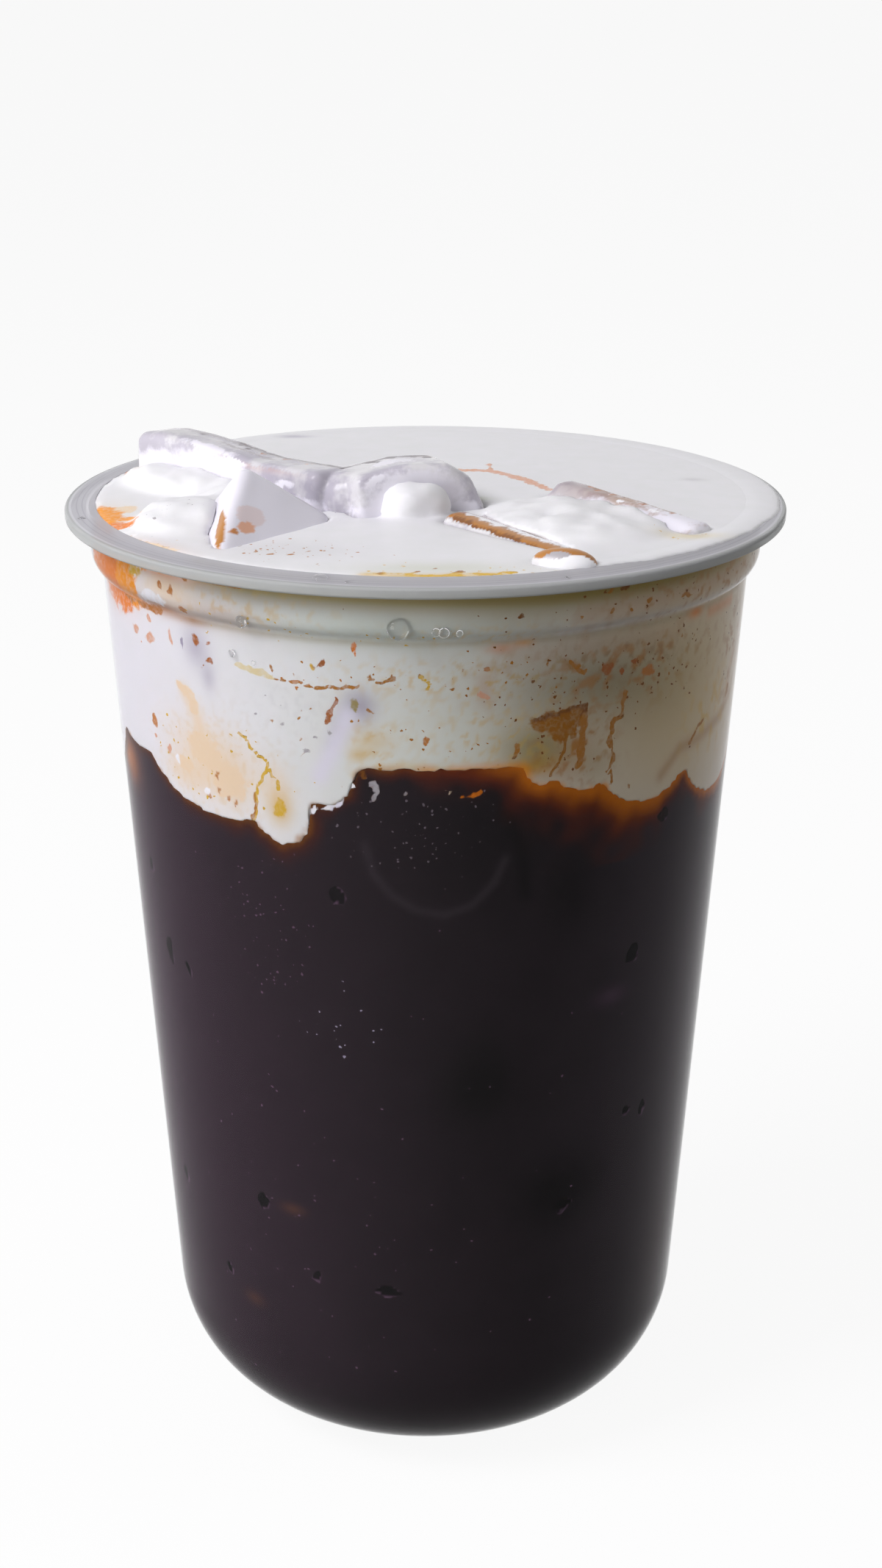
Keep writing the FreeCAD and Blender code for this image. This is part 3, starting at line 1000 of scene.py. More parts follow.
FOAM_MARKS: list[Mark] = [
    # Caramel and amber on the collar, with two white islands
    *patches(SIDE, Tone.CARAMEL, ((-68.0, 118.8, 5.4, 4.6, 1.1), (-64.4, 115.4, 3.0, 2.0))),
    Stroke(SIDE, ((-63, 116.0), (-56, 115.9), (-50, 115.8)), 0.55, Tone.BRICK),
    Patch(SIDE, (-58.6, 118.2), (2.4, 2.9), Tone.AMBER, 1.2, -12),
    Patch(SIDE, (-55.4, 120.0), (1.8, 0.8), Tone.GOLD),
    Stroke(SIDE, ((-58, 121.6), (-52, 121.4), (-47, 121.7)), 0.6, Tone.AMBER),
    Patch(SIDE, (-50.2, 117.6), (2.2, 0.7), Tone.WHITE, 1.2),
    Spots(SIDE, ((-47.6, 119.6), (-44.6, 119.2), (-42.5, 117.2), (-41.0, 120.9)), 0.5, Tone.BRICK),
    Stroke(SIDE, ((-42, 121.7), (-38, 121.6), (-34, 121.6), (-30, 121.7)), 0.35, Tone.TOFFEE),
    Patch(SIDE, (-11.6, 115.1), (0.22, 0.9), Tone.CARAMEL, 1.0, 8),
    # Pink patches and dark ovals at the left
    *patches(SIDE, Tone.BLUSH, (
        (-60.1, 112.0, 0.7, 0.5), (-54.6, 111.8, 1.0, 0.5), (-54.1, 114.3, 0.35, 0.6),
        (-47.9, 113.0, 0.4, 1.1, 1.0, 8), (-58.3, 110.6, 0.3, 0.3),
    )),
    Patch(SIDE, (-55.9, 101.2), (0.5, 1.0), Tone.BRICK),
    *patches(SIDE, Tone.BLUSH, ((-56.3, 99.0, 0.4, 0.4), (-51.8, 98.2, 0.3, 0.4))),
    *patches(SIDE, Tone.RUST, (
        (-41.6, 113.3, 0.55, 0.85, 1.0, 12), (-39.0, 111.0, 0.6, 0.45), (-40.6, 110.4, 0.4, 0.16),
    )),
    Patch(SIDE, (-44.9, 112.5), (0.16, 0.6), Tone.PLUM, 1.0, 10),
    Patch(SIDE, (-38.6, 113.3), (0.22, 0.22), Tone.RUST),
    # Peach lobe: pale islands and yellow veins
    Stroke(SIDE, ((-46.6, 107.2), (-44.0, 106.4), (-43.4, 104.6)), 0.75, Tone.PEACH),
    *patches(SIDE, Tone.PEACH, (
        (-41.5, 99.6, 3.4, 2.0, 1.0, -20), (-36.4, 96.6, 2.8, 2.2), (-47.0, 97.2, 1.6, 0.8),
    )),
    Spots(SIDE, ((-49.4, 97.4), (-42.0, 94.6)), 0.4, Tone.WHITE, 1.3),
    Stroke(SIDE, ((-33.3, 103.1), (-29.1, 100.4), (-27.9, 99.6), (-29.9, 97.0), (-30.9, 93.6),
                  (-31.4, 91.6)), 0.17, Tone.GOLD, 1.3),
    Stroke(SIDE, ((-30.6, 95.6), (-31.4, 92.6)), 0.22, Tone.TOFFEE, 1.4),
    Stroke(SIDE, ((-27.9, 99.6), (-25.7, 97.9), (-26.0, 96.9)), 0.16, Tone.GOLD, 1.3),
    Patch(SIDE, (-25.8, 94.6), (0.8, 1.3), Tone.GOLD),
    Spots(SIDE, ((-38.9, 97.0), (-38.6, 95.2), (-36.6, 94.3), (-34.6, 94.0), (-41.5, 94.0)), 0.28,
          Tone.BRICK, 1.3),
    # Smear across the middle, its dots and the streaks under it
    Stroke(SIDE, ((-32.6, 111.5), (-28.8, 111.1), (-26.0, 110.8)), 0.35, Tone.STRAW),
    Stroke(SIDE, ((-26.8, 110.9), (-23.2, 110.4), (-19.8, 110.3), (-16.0, 110.1), (-10.9, 110.7)),
           0.17, Tone.TOFFEE),
    Stroke(SIDE, ((-22.5, 110.5), (-21.0, 110.4), (-19.2, 110.4)), 0.2, Tone.BRICK, 1.1),
    Stroke(SIDE, ((-9.4, 111.7), (-7.3, 111.4), (-5.2, 111.7)), 0.2, Tone.TOFFEE),
    Spots(SIDE, ((-26.1, 111.9), (-22.0, 111.6), (-17.8, 112.6), (-5.3, 111.8), (-9.2, 112.0)),
          0.26, Tone.TOFFEE),
    Patch(SIDE, (-16.6, 113.2), (0.26, 0.5), Tone.RUST),
    Patch(SIDE, (-18.2, 112.4), (0.4, 0.6), Tone.GOLD, 0.8),
    Stroke(SIDE, ((-15.0, 108.7), (-15.8, 107.0), (-16.4, 106.0)), 0.3, Tone.RUST),
    Patch(SIDE, (-11.4, 108.3), (0.45, 0.9), Tone.KHAKI, 1.0, 15),
    Spots(SIDE, ((-9.0, 107.7), (-10.9, 106.6), (-26.7, 105.3), (-20.9, 107.3), (-19.0, 107.6),
                 (-21.2, 106.2), (-21.2, 103.8), (-6.6, 104.0), (-21.0, 101.9)), 0.24, Tone.TOFFEE),
    Spots(SIDE, ((-24.6, 105.0), (-16.0, 104.6), (-20.4, 102.4), (-18.6, 103.8)), 0.28, Tone.GREY),
    # Brown triangle and its streaks
    Stroke(SIDE, ((18.6, 106.2), (22.5, 106.6), (27.8, 107.2)), 0.36, Tone.BROWN, 1.1),
    *patches(SIDE, Tone.COPPER, (
        (21.0, 105.6, 2.2, 1.0, 1.3), (23.4, 105.4, 2.2, 1.5, 1.3), (23.2, 104.0, 1.0, 1.1, 1.2),
        (26.0, 106.2, 1.6, 0.7, 1.2),
    )),
    Patch(SIDE, (27.1, 106.4), (0.7, 0.9), Tone.BROWN, 1.3),
    Stroke(SIDE, ((27.4, 106.0), (27.1, 103.0), (26.7, 99.8)), 0.42, Tone.TOFFEE, 1.1),
    Stroke(SIDE, ((24.6, 106.0), (24.2, 103.2), (23.2, 100.8), (21.5, 98.8)), 0.24, Tone.COPPER),
    Stroke(SIDE, ((25.8, 106.0), (25.4, 103.4)), 0.3, Tone.COPPER),
    # Vein at the right, and streaks near the cleft
    Stroke(SIDE, ((35.4, 107.6), (35.1, 104.9), (33.2, 104.4), (33.1, 101.5), (33.8, 99.5),
                  (34.0, 96.8)), 0.24, Tone.TOFFEE),
    Patch(SIDE, (35.2, 105.1), (0.5, 0.35), Tone.BROWN),
    Patch(SIDE, (35.4, 107.4), (0.3, 0.7), Tone.TOFFEE),
    Stroke(SIDE, ((58.4, 100.5), (55.4, 99.4), (53.9, 98.6)), 0.3, Tone.TOFFEE, 0.9),
    Patch(SIDE, (70.4, 102.2), (0.7, 0.8), Tone.TOFFEE),
    Stroke(SIDE, ((15.5, 103.2), (15.0, 102.2)), 0.35, Tone.TOFFEE),
    Patch(SIDE, (14.9, 101.8), (0.3, 0.25), Tone.BROWN),
    Patch(SIDE, (-0.4, 104.2), (0.4, 0.5), Tone.BRICK),
    Patch(SIDE, (9.4, 109.6), (0.5, 0.5), Tone.BLUSH, 0.9),
    Patch(SIDE, (9.9, 112.6), (0.5, 0.3), Tone.BRICK, 0.9),
    Stroke(SIDE, ((-0.6, 111.9), (0.6, 111.4), (0.0, 110.6)), 0.25, Tone.GOLD),
    # Dark spots at the right
    Patch(SIDE, (31.6, 111.3), (1.0, 0.7), Tone.RUST),
    Patch(SIDE, (40.4, 109.9), (1.1, 0.7), Tone.BRICK, 1.0, 20),
    *patches(SIDE, Tone.RUST, ((37.5, 111.5, 0.5, 0.3, 1.0, 40), (34.4, 110.5, 0.4, 0.3))),
    Stroke(SIDE, ((24.1, 112.6), (25.4, 111.8), (27.4, 111.3)), 0.28, Tone.TOFFEE),
    *patches(SIDE, Tone.BROWN, (
        (17.7, 110.6, 0.34, 0.32), (32.5, 121.3, 0.7, 0.5), (14.7, 119.2, 0.4, 0.32),
    )),
    Patch(SIDE, (46.5, 118.4), (0.9, 0.3), Tone.TOFFEE),
    Spots(SIDE, ((24.8, 118.0), (34.2, 118.4), (30.7, 118.7), (38.0, 119.0), (30.0, 120.9)), 0.32,
          Tone.TOFFEE),
    Spots(SIDE, ((12.8, 112.4), (6.3, 112.9), (25.9, 112.1), (45.7, 108.6), (20.3, 99.7),
                 (32.8, 98.3), (37.7, 95.8), (-1.0, 112.0), (3.9, 110.2), (48.4, 113.0),
                 (52.0, 112.2), (12.2, 100.9), (20.4, 112.6), (21.6, 110.0)), 0.24, Tone.TOFFEE),
    # Top: orange edge at the left, flecks, and the orange streak at the back
    Patch(TOP, (-39.0, -12.4), (2.0, 4.6), Tone.AMBER, 1.2, 10),
    Patch(TOP, (-37.0, -17.6), (2.4, 1.6), Tone.CARAMEL),
    Patch(TOP, (-35.8, -14.2), (1.6, 1.2), Tone.AMBER, 0.9),
    Patch(TOP, (-36.4, -9.0), (1.2, 1.8), Tone.PEACH),
    Stroke(TOP, ((-35.2, -22.4), (-32.4, -26.0), (-28.6, -29.2)), 0.55, Tone.PEACH),
    Stroke(TOP, ((-32.6, -26.8), (-30.0, -29.0)), 0.35, Tone.GOLD, 1.2),
    Patch(TOP, (-38.4, 12.0), (0.6, 2.2), Tone.BLUSH),
    Stroke(TOP, ((3.8, 12.0), (8.3, 11.4), (11.5, 7.8), (13.7, 4.2), (15.6, 0.4)), 0.8, Tone.BLUSH,
           0.9),
    Stroke(TOP, ((8.6, 12.0), (8.2, 15.4)), 0.4, Tone.BLUSH, 0.9),
    Stroke(TOP, ((-5.5, -40.0), (-0.7, -40.4), (2.7, -40.5), (6.4, -40.0), (9.6, -39.4)), 0.6,
           Tone.GOLD, 0.9),
    Spots(TOP, ((-5.3, -39.6), (-0.7, -39.4), (3.7, -39.0), (0.9, -38.2)), 0.5, Tone.COPPER, 0.9),
    Spots(TOP, ((-2.6, -36.8), (10.0, -37.3), (12.2, -39.6), (29.1, -23.5), (33.2, -21.6),
                (32.0, -24.0), (-28.8, -24.6)), 0.4, Tone.GOLD, 0.9),
    Spots(TOP, ((-19.3, -30.4), (-16.3, -27.7), (-12.0, -36.2), (-15.4, -31.7), (-13.5, -30.6),
                (-17.6, -31.4), (-12.9, -6.3), (-11.3, -11.5), (-9.9, -14.5)), 0.42, Tone.TOFFEE,
          0.9),
    Spots(TOP, ((-22.9, -25.0), (-21.4, -27.7), (-33.0, -13.0), (-26.0, -14.0), (-30.5, -17.5),
                (24.0, -30.3), (26.4, -12.2), (9.9, -31.1), (21.3, -9.0), (22.1, -35.0)), 0.36,
          Tone.GREY),
]

FOAM_GRAIN: list[Mark] = [
    *patches(SIDE, Tone.BROWN, ((34, 110, 20, 6, 0.5), (50, 119.5, 20, 2.2, 0.5))),
    Patch(SIDE, (8, 112), (14, 2.6), Tone.TOFFEE, 0.4),
    Patch(SIDE, (26, 101.5), (5.5, 4.5), Tone.BROWN, 0.55),
    Patch(SIDE, (4, 106), (14, 6), Tone.TOFFEE, 0.14),
    Patch(SIDE, (-22, 107), (10, 6), Tone.GREY, 0.05),
    Patch(SIDE, (-20, 110.6), (8, 1.2), Tone.BRICK, 0.3),
    Patch(SIDE, (-40, 98), (9, 5), Tone.GOLD, 0.36),
    Stroke(SIDE, ((-44, 117), (-20, 117.4), (4, 116.8)), 1.2, Tone.GOLD, 0.3),
    Stroke(SIDE, ((-10, 100.6), (0, 100.6), (12, 100.4)), 0.8, Tone.TOFFEE, 0.4),
    Patch(TOP, (-15.5, -29.5), (7, 4.6), Tone.TOFFEE, 0.5, -10),
    *patches(TOP, Tone.GOLD, ((3, -38.6, 12, 2.0, 0.4), (31, -22, 5, 3, 0.24))),
    *patches(TOP, Tone.GREY, ((-12, -9, 3, 6, 0.3), (-30, -18, 7, 6, 0.14))),
]


@dataclass
class Foam:
    """Cold foam: the CAD layer, softened, pressed against the wall, with coffee stains and painted
    shade.
    """

    cup: Cup
    node: str = "cold_foam"
    voxel: float = 0.68 * MM
    cling: float = 0.46 * MM
    brim_release: float = 0.85
    skin: float = 1.0 * MM
    release: tuple[float, float] = (1.0 * MM, 0.2 * MM)
    touch: float = 0.3 * MM
    lip_gap: float = 0.1 * MM
    whipped: tuple[float, float] = (0.4 * MM, 1.6 * MM)
    lumps: float = 0.6 * MM
    hem: tuple[float, float] = (99 * MM, 104 * MM)
    ragged: tuple[float, float] = (-2.0, 16.0)
    calm: float = 0.22
    drip: tuple[float, float] = (-25.6, 6.0)
    drip_root: tuple[float, float] = (90 * MM, 95.5 * MM)
    mound: tuple[float, float] = (-1.0, -14.5)
    mound_lean: float = 0.3
    mound_sink: float = 0.9
    mound_reach: tuple[float, float] = (7.0, 5.0)
    stained_below: float = 106 * MM
    front: float = 92.0

    def shape(self) -> bpy.types.Object:
        """Shapes the foam.

        Returns:
            The new piece, which stands for the CAD foam.
        """
        piece = merged_copy(self.node, "foam_layer")
        soften(piece, self.voxel, 3)
        self.whip(piece)
        self.fray(piece)
        self.press(piece)
        refine_front(piece, self.cup, self.front)
        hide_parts(self.node)
        self.piece = piece
        return piece

    def whip(self, piece: bpy.types.Object) -> None:
        """Gives the banks that stand over the brim the soft lumps of whipped milk."""
        points = read_points(piece)
        low, high = self.whipped
        raised = ease(points[:, 2], self.cup.brim + low, self.cup.brim + high)
        wide, narrow = self.mound_reach
        aside = (points[:, 0] / MM - self.mound[0]) * self.from_mound(points, wide) * raised
        points[:, 0] += self.mound_lean * aside * MM
        points[:, 2] -= raised * self.mound_sink * MM * self.from_mound(points, narrow)
        lumps = layered_noise(points, (4.0 * MM, 5.3, 1.0), (1.6 * MM, 1.9, 0.4))
        points += read_points(piece, "normal") * (raised * lumps * self.lumps)[:, None]
        write_points(piece, points)

    def from_mound(self, points: np.ndarray, reach: float) -> np.ndarray:
        """Returns 1 at the mound's middle, fading to 0 over a reach in millimetres."""
        return np.exp(-(((points[:, :2] / MM - np.array(self.mound)) / reach) ** 2).sum(axis=1))

    def fray(self, piece: bpy.types.Object) -> None:
        """Makes the foam's lower edge uneven, and the drip beside the broad lobe round."""
        points = read_points(piece)
        turned = bearings(points)
        low = 1 - ease(points[:, 2], *self.hem)
        middle, half = self.ragged
        rest = self.calm
        ragged = low * (rest + (1 - rest) * np.exp(-((turned - middle) / half) ** 4)) * MM
        for size, seed, share in ((1.5 * MM, 3.7, 0.5), (0.8 * MM, 8.3, 0.25)):
            points[:, 2] += ragged * share * rough_noise(points, size, seed)
        bearing, half = self.drip
        aside = turned - bearing
        share = np.exp(-(aside / half) ** 4) * (1 - ease(points[:, 2], *self.drip_root))
        spread = np.radians(aside * 0.5 * share)
        x = points[:, 0] * np.cos(spread) - points[:, 1] * np.sin(spread)
        points[:, 1] = points[:, 0] * np.sin(spread) + points[:, 1] * np.cos(spread)
        points[:, 0] = x
        write_points(piece, points)

    def press(self, piece: bpy.types.Object) -> None:
        """Presses the foam's side into the wall, so that no gap shows."""
        points = read_points(piece)
        radius = np.hypot(points[:, 0], points[:, 1])
        wall = self.cup.inner(points[:, 2])
        near = ease(radius, wall - self.skin, wall - 0.4 * self.skin)
        low, high = self.release
        top = ease(points[:, 2], self.cup.brim - low, self.cup.brim - high)
        push_out(points, wall, near, self.cling * (1 - self.brim_release * top))
        write_points(piece, points)

    def side(self) -> tuple[np.ndarray, np.ndarray]:
        """Returns the foam's points and which of them lie against the wall."""
        points = read_points(self.piece)
        radius = np.hypot(points[:, 0], points[:, 1])
        near = radius > self.cup.inner(points[:, 2]) - self.touch
        return points, near & (points[:, 2] < self.cup.brim - self.lip_gap)

    def paint(self, drink: np.ndarray) -> None:
        """Lays the foam's stains and its painted shade and highlights.

        Args:
            drink: the points where coffee lies against the wall.
        """
        points, on_side = self.side()
        painter = Painter(points, on_side)
        painter.lay_washes(FOAM_WASHES)
        low = on_side & (points[:, 2] < self.stained_below)
        gap = distances(points[low], drink)
        weight = np.zeros(len(points))
        reach = (1.1 + 0.9 * np.exp(-((painter.bearing[low] - 6) / 16) ** 4)) * MM
        weight[low] = 0.9 * (1 - ease(gap, 0.4 * MM, reach))
        dark = ease(painter.bearing, *AMBER_FROM)
        painter.blend(weight * (1 - dark), Tone.TOFFEE)
        painter.blend(weight * dark, Tone.AMBER)
        painter.lay_marks(FOAM_MARKS)
        painter.lay_grain(FOAM_GRAIN)
        painter.store(self.piece)


def distances(points: np.ndarray, others: np.ndarray) -> np.ndarray:
    """Returns each point's distance to the nearest of the others."""
    tree = kdtree.KDTree(len(others))
    for index, other in enumerate(others):
        tree.insert(other, index)
    tree.balance()
    return np.array([tree.find(point)[2] for point in points])


COFFEE_WASHES: list[Mark] = [
    # painted sheen of the left light on the wall, over the coffee's left side
    Patch(SIDE, (-84, 60), (22, 70), Tone.SMOKE, 0.5),
    # the painted sheen fading towards the middle
    *patches(SIDE, Tone.PLUM_DARK, ((-40, 60, 22, 70, 0.32), (-45, 30, 24, 30, 0.3))),
    # painted sheen: a paler band down the wall at the right
    *patches(SIDE, Tone.ASH, ((70, 60, 9, 34, 0.55), (54, 56, 16, 50, 0.24))),
    *patches(SIDE, Tone.BLACK, (
        (10.6, 59.0, 5.4, 6.2, 0.85), (27.4, 42.2, 6.8, 4.8, 0.85, 8), (27.0, 84.0, 3.2, 4.6, 0.6),
    )),
    *patches(SIDE, Tone.WINE, ((90, 50, 8, 60, 0.5), (66, 26, 6, 10, 0.5))),
    Patch(SIDE, (12, 92), (11, 9), Tone.BLACK, 0.5),
    Stroke(SIDE, ((-10.6, 91), (-9, 87.4), (-6, 84.8), (-1.6, 82.9), (3.3, 82.3), (8.2, 83.4),
                  (12, 86), (14, 89)), 0.6, Tone.ASH, 0.11),
    Stroke(SIDE, ((14, 95), (17, 90), (18, 84)), 0.9, Tone.BLACK, 0.6),
    *patches(SIDE, Tone.BRICK, ((-28.2, 39.6, 1.6, 0.7, 0.1), (-40.3, 23.9, 1.6, 0.9, 0.08))),
    Patch(SIDE, (37.9, 68.1), (2.4, 1.2), Tone.SMOKE, 0.4),
    Patch(SIDE, (-71.9, 93.1), (3.2, 2.6), Tone.RUST, 0.95),
]


def oval_with_painted_highlight(place: tuple[float, float], size: tuple[float, float], turn: float) -> list[Mark]:
    """Returns a small dark oval on the coffee with a paler crescent at its lower right, a painted
    highlight.

    Args:
        place: bearing and height of its middle.
        size: its half length and half width.
        turn: how far it is turned, in degrees.
    """
    margin, drop = 0.16, 0.14
    wide = (size[0] + margin, size[1] + margin)
    low = (place[0] + margin, place[1] - drop)
    return [
        # paler crescent round the lower right: a painted highlight
        Patch(SIDE, low, wide, Tone.SMOKE, 1.0, turn),
        Patch(SIDE, place, size, Tone.BLACK, 1.5, turn)]


# dark ovals on the coffee, each with a painted highlight
OVALS_WITH_PAINTED_HIGHLIGHTS = (
    ((-15.6, 84.2), (0.7, 0.9), 50), ((-59.5, 69.7), (0.7, 1.3), 10),
    ((-52.6, 68.6), (0.5, 0.8), 20), ((-63.7, 36.3), (0.5, 0.8), 20),
    ((-35.7, 39.6), (0.7, 0.8), 40), ((-47.6, 26.9), (0.5, 0.6), 30),
    ((-23.5, 30.5), (0.6, 0.5), 10), ((-8.0, 29.8), (1.6, 0.5), -6),
    ((42.3, 73.0), (0.7, 1.1), -20), ((44.6, 50.7), (0.6, 0.7), -20),
    ((49.7, 49.8), (0.5, 0.8), -20), ((29.2, 40.0), (1.1, 0.7), 10),
    ((47.8, 90.4), (0.6, 0.9), -30), ((-64.5, 80.5), (0.4, 1.0), 0),
)

COFFEE_MARKS: list[Mark] = [
    Stroke(SIDE, ((-20.0, 94.6), (-18.6, 95.3), (-16.8, 95.6), (-14.4, 96.6), (-12.4, 98.4)), 0.3,
           Tone.WHITE, 1.0),
    Stroke(SIDE, ((-16.0, 95.4), (-14.6, 95.9)), 0.25, Tone.VIOLET, 1.2),
    Patch(SIDE, (-10.6, 99.8), (0.5, 0.5), Tone.BROWN),
    Stroke(SIDE, ((-9.2, 98.9), (-8.4, 98.0), (-8.7, 97.0)), 0.22, Tone.GREY, 1.2),
    Stroke(SIDE, ((2.4, 98.2), (3.6, 97.6), (4.6, 98.3)), 0.16, Tone.PEACH, 1.1),
    Stroke(SIDE, ((6.0, 97.7), (8.2, 97.2), (9.6, 97.6)), 0.16, Tone.CARAMEL, 1.2),
    Stroke(SIDE, ((-2.8, 98.2), (-3.2, 97.4)), 0.16, Tone.GREY, 1.1),
    *(mark for place, size, turn in OVALS_WITH_PAINTED_HIGHLIGHTS for mark in oval_with_painted_highlight(place, size, turn)),
]

COFFEE_GRAIN: list[Mark] = [
    Patch(SIDE, (-29, 76.5), (5.0, 6.4), Tone.SMOKE, 0.5, 10),
    Patch(SIDE, (-17, 67.5), (3.6, 3.2), Tone.PLUM, 0.6),
    Patch(SIDE, (0, 92.5), (7.0, 4.0), Tone.ASH, 0.6),
    *patches(SIDE, Tone.SMOKE, ((-35, 86, 10, 4, 0.16), (-30, 40, 30, 30, 0.05))),
]

BUBBLES = (
    (-37.7, 79.7, 0.22), (-26.5, 72.6, 0.24), (-32.7, 69.4, 0.26), (-24.8, 66.6, 0.36),
    (-20.0, 63.5, 0.2), (-5.3, 75.7, 0.24), (-4.0, 74.2, 0.22), (-1.1, 70.8, 0.26),
    (-23.7, 57.6, 0.24), (-54.2, 49.2, 0.3), (-21.8, 47.2, 0.38), (-10.8, 30.5, 0.34),
    (-2.0, 34.8, 0.2), (40.1, 32.1, 0.2), (17.6, 14.8, 0.2), (-56.4, 27.7, 0.24),
    (-28.2, 32.1, 0.22), (-9.4, 96.6, 0.34), (-8.2, 97.6, 0.5), (-7.6, 98.4, 0.36),
    (-12.4, 93.6, 0.24), (2.6, 97.4, 0.3), (6.4, 98.0, 0.4), (10.0, 97.2, 0.3),
    (-19.4, 97.0, 0.22), (13.4, 53.2, 0.2), (7.0, 60.8, 0.18),
)


GLOW_REACH = (
    (-90, 0.8), (-60, 0.6), (-40, 0.9), (-27, 1.5), (-20, 1.2), (-15, 0.5), (0, 1.2), (12, 1.6),
    (18, 2.6), (26, 2.8), (36, 3.4), (46, 2.2), (55, 0.8), (64, 1.2), (75, 1.8), (90, 1.4),
)


@dataclass
class Brew:
    """Cold brew: the CAD drink, its side pressed against the wall and its top up in the foam."""

    cup: Cup
    node: str = "cold_brew"
    voxel: float = 0.9 * MM
    cling: float = 0.38 * MM
    overlap: float = 1.0 * MM
    touch: float = 0.5 * MM
    upward: tuple[float, float] = (0.1, 0.5)
    pressed: tuple[float, float] = (2.0 * MM, 0.8 * MM)
    skin: float = 0.3 * MM
    floor: float = 12 * MM
    edge_above: float = 84 * MM
    glow_above: float = 86 * MM
    glow_outside: float = 34 * MM
    front: float = 88.0

    def shape(self) -> bpy.types.Object:
        """Shapes the coffee.

        Returns:
            The new piece, which stands for the CAD drink.
        """
        piece = merged_copy(self.node, "brew")
        soften(piece, self.voxel, 2)
        points = read_points(piece)
        normals = read_points(piece, "normal")
        radius = np.hypot(points[:, 0], points[:, 1])
        against = radius > self.cup.inner(points[:, 2]) - self.touch
        self.edge = points[against & (points[:, 2] > self.edge_above)]
        points[:, 2] += self.overlap * ease(normals[:, 2], *self.upward)
        wall = self.cup.inner(points[:, 2])
        deep, shallow = self.pressed
        push_out(points, wall, ease(radius, wall - deep, wall - shallow), self.cling)
        write_points(piece, points)
        refine_front(piece, self.cup, self.front, self.skin, self.floor)
        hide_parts(self.node)
        self.piece = piece
        return piece

    def paint(self, foam: np.ndarray) -> None:
        """Lays the coffee's stains, painted sheen and highlights, and the glow where thin coffee
        runs under the foam.

        Args:
            foam: the points where foam lies against the wall.
        """
        points = read_points(self.piece)
        painter = Painter(points, np.full(len(points), True))
        painter.lay_washes(COFFEE_WASHES)
        outside = np.hypot(points[:, 0], points[:, 1]) > self.glow_outside
        high = (points[:, 2] > self.glow_above) & outside
        gap = distances(points[high], foam)
        reach = np.interp(painter.bearing[high], *zip(*GLOW_REACH)) * MM
        dark = ease(painter.bearing[high], *AMBER_FROM)
        clouds = 1 + 0.5 * rough_noise(points[high], 3.0 * MM, 6.4)
        amber = ease(painter.bearing[high], 6, 18)
        for tone, share, strength in (
            (Tone.EMBER, 1.3, 0.9 * (1 - dark)), (Tone.BROWN, 0.4, 0.7 * (1 - amber)),
            (Tone.GLOW, 1.4, 0.9 * dark), (Tone.FLAME, 0.55, 0.9 * amber),
        ):
            weight = np.zeros(len(points))
            weight[high] = strength * np.exp(-(gap / (reach * share * clouds)) ** 2)
            painter.blend(weight, tone)
        painter.lay_marks(COFFEE_MARKS)
        painter.lay_grain(COFFEE_GRAIN)
        painter.store(self.piece)


@dataclass
class Spill:
    """The film of foam that has run out over the cup's lip at the right and the back."""

    cup: Cup
    start: float = 26.0
    end: float = 236.0
    steps: int = 420
    across: int = 14
    inner: float = 37.4 * MM
    mouth: float = 41.2 * MM
    thickness: float = 0.22 * MM
    sink: float = 0.32 * MM
    backing: float = 0.1 * MM
    reach: tuple[tuple[float, float], ...] = (
        (26, 41.3), (36, 41.9), (50, 42.3), (60, 42.9), (72, 43.6), (86, 44.4), (110, 44.75),
        (215, 44.7), (228, 43.2), (236, 41.4))

    def build(self) -> bpy.types.Object:
        """Returns the film, with a ragged edge."""
        top, low = self.sheets()
        piece = make_mesh("foam_spill", top + low, [], self.faces(len(top)))
        bpy.ops.object.shade_smooth()
        points = read_points(piece)
        painter = Painter(points, np.full(len(points), False))
        painter.lay_washes(FOAM_WASHES)
        painter.store(piece)
        return piece

    def sheets(self) -> tuple[list[Vector], list[Vector]]:
        """Returns the points of the film's top and of its underside, row by row."""
        turns = np.linspace(self.start, self.end, self.steps)
        shares = np.linspace(0, 1, self.across)
        edge = np.interp(turns, *zip(*self.reach)) * MM
        places = np.array([polar(0.042, turn, 0) for turn in turns])
        ragged = rough_noise(places, 2.6 * MM, 7.0) * 0.32
        ragged += rough_noise(places, 0.8 * MM, 3.0) * 0.16
        edge = edge + (1 - ease(turns, 80, 96)) * ragged * MM
        top, low = [], []
        for turn, outer in zip(turns, edge):
            for share, rise in zip(shares, ease(shares, 0.0, 0.9)):
                radius = self.inner + share * (outer - self.inner)
                film = self.thickness * math.sqrt(max(1 - share ** 6, 0.0)) - self.sink * (1 - rise)
                height = float(self.cup.lip(max(radius, self.mouth)))
                top.append(polar(radius, turn, height + film))
                low.append(polar(radius, turn, height + min(film, 0.0) - self.backing))
        return top, low

    def faces(self, count: int) -> list[tuple[int, ...]]:
        """Returns the faces that close the film, for as many points as each sheet has."""
        faces = []
        last = self.across - 1
        for a in range(0, (self.steps - 1) * self.across, self.across):
            b = a + self.across
            for column in range(last):
                faces.append((a + column, a + column + 1, b + column + 1, b + column))
                faces.append(tuple(count + corner for corner in reversed(faces[-1])))
            faces.append((b, count + b, count + a, a))
            faces.append((a + last, count + a + last, count + b + last, b + last))
        for start, order in ((0, 1), ((self.steps - 1) * self.across, -1)):
            for a in range(start, start + last):
                faces.append((a, count + a, count + a + 1, a + 1)[::order])
        return faces


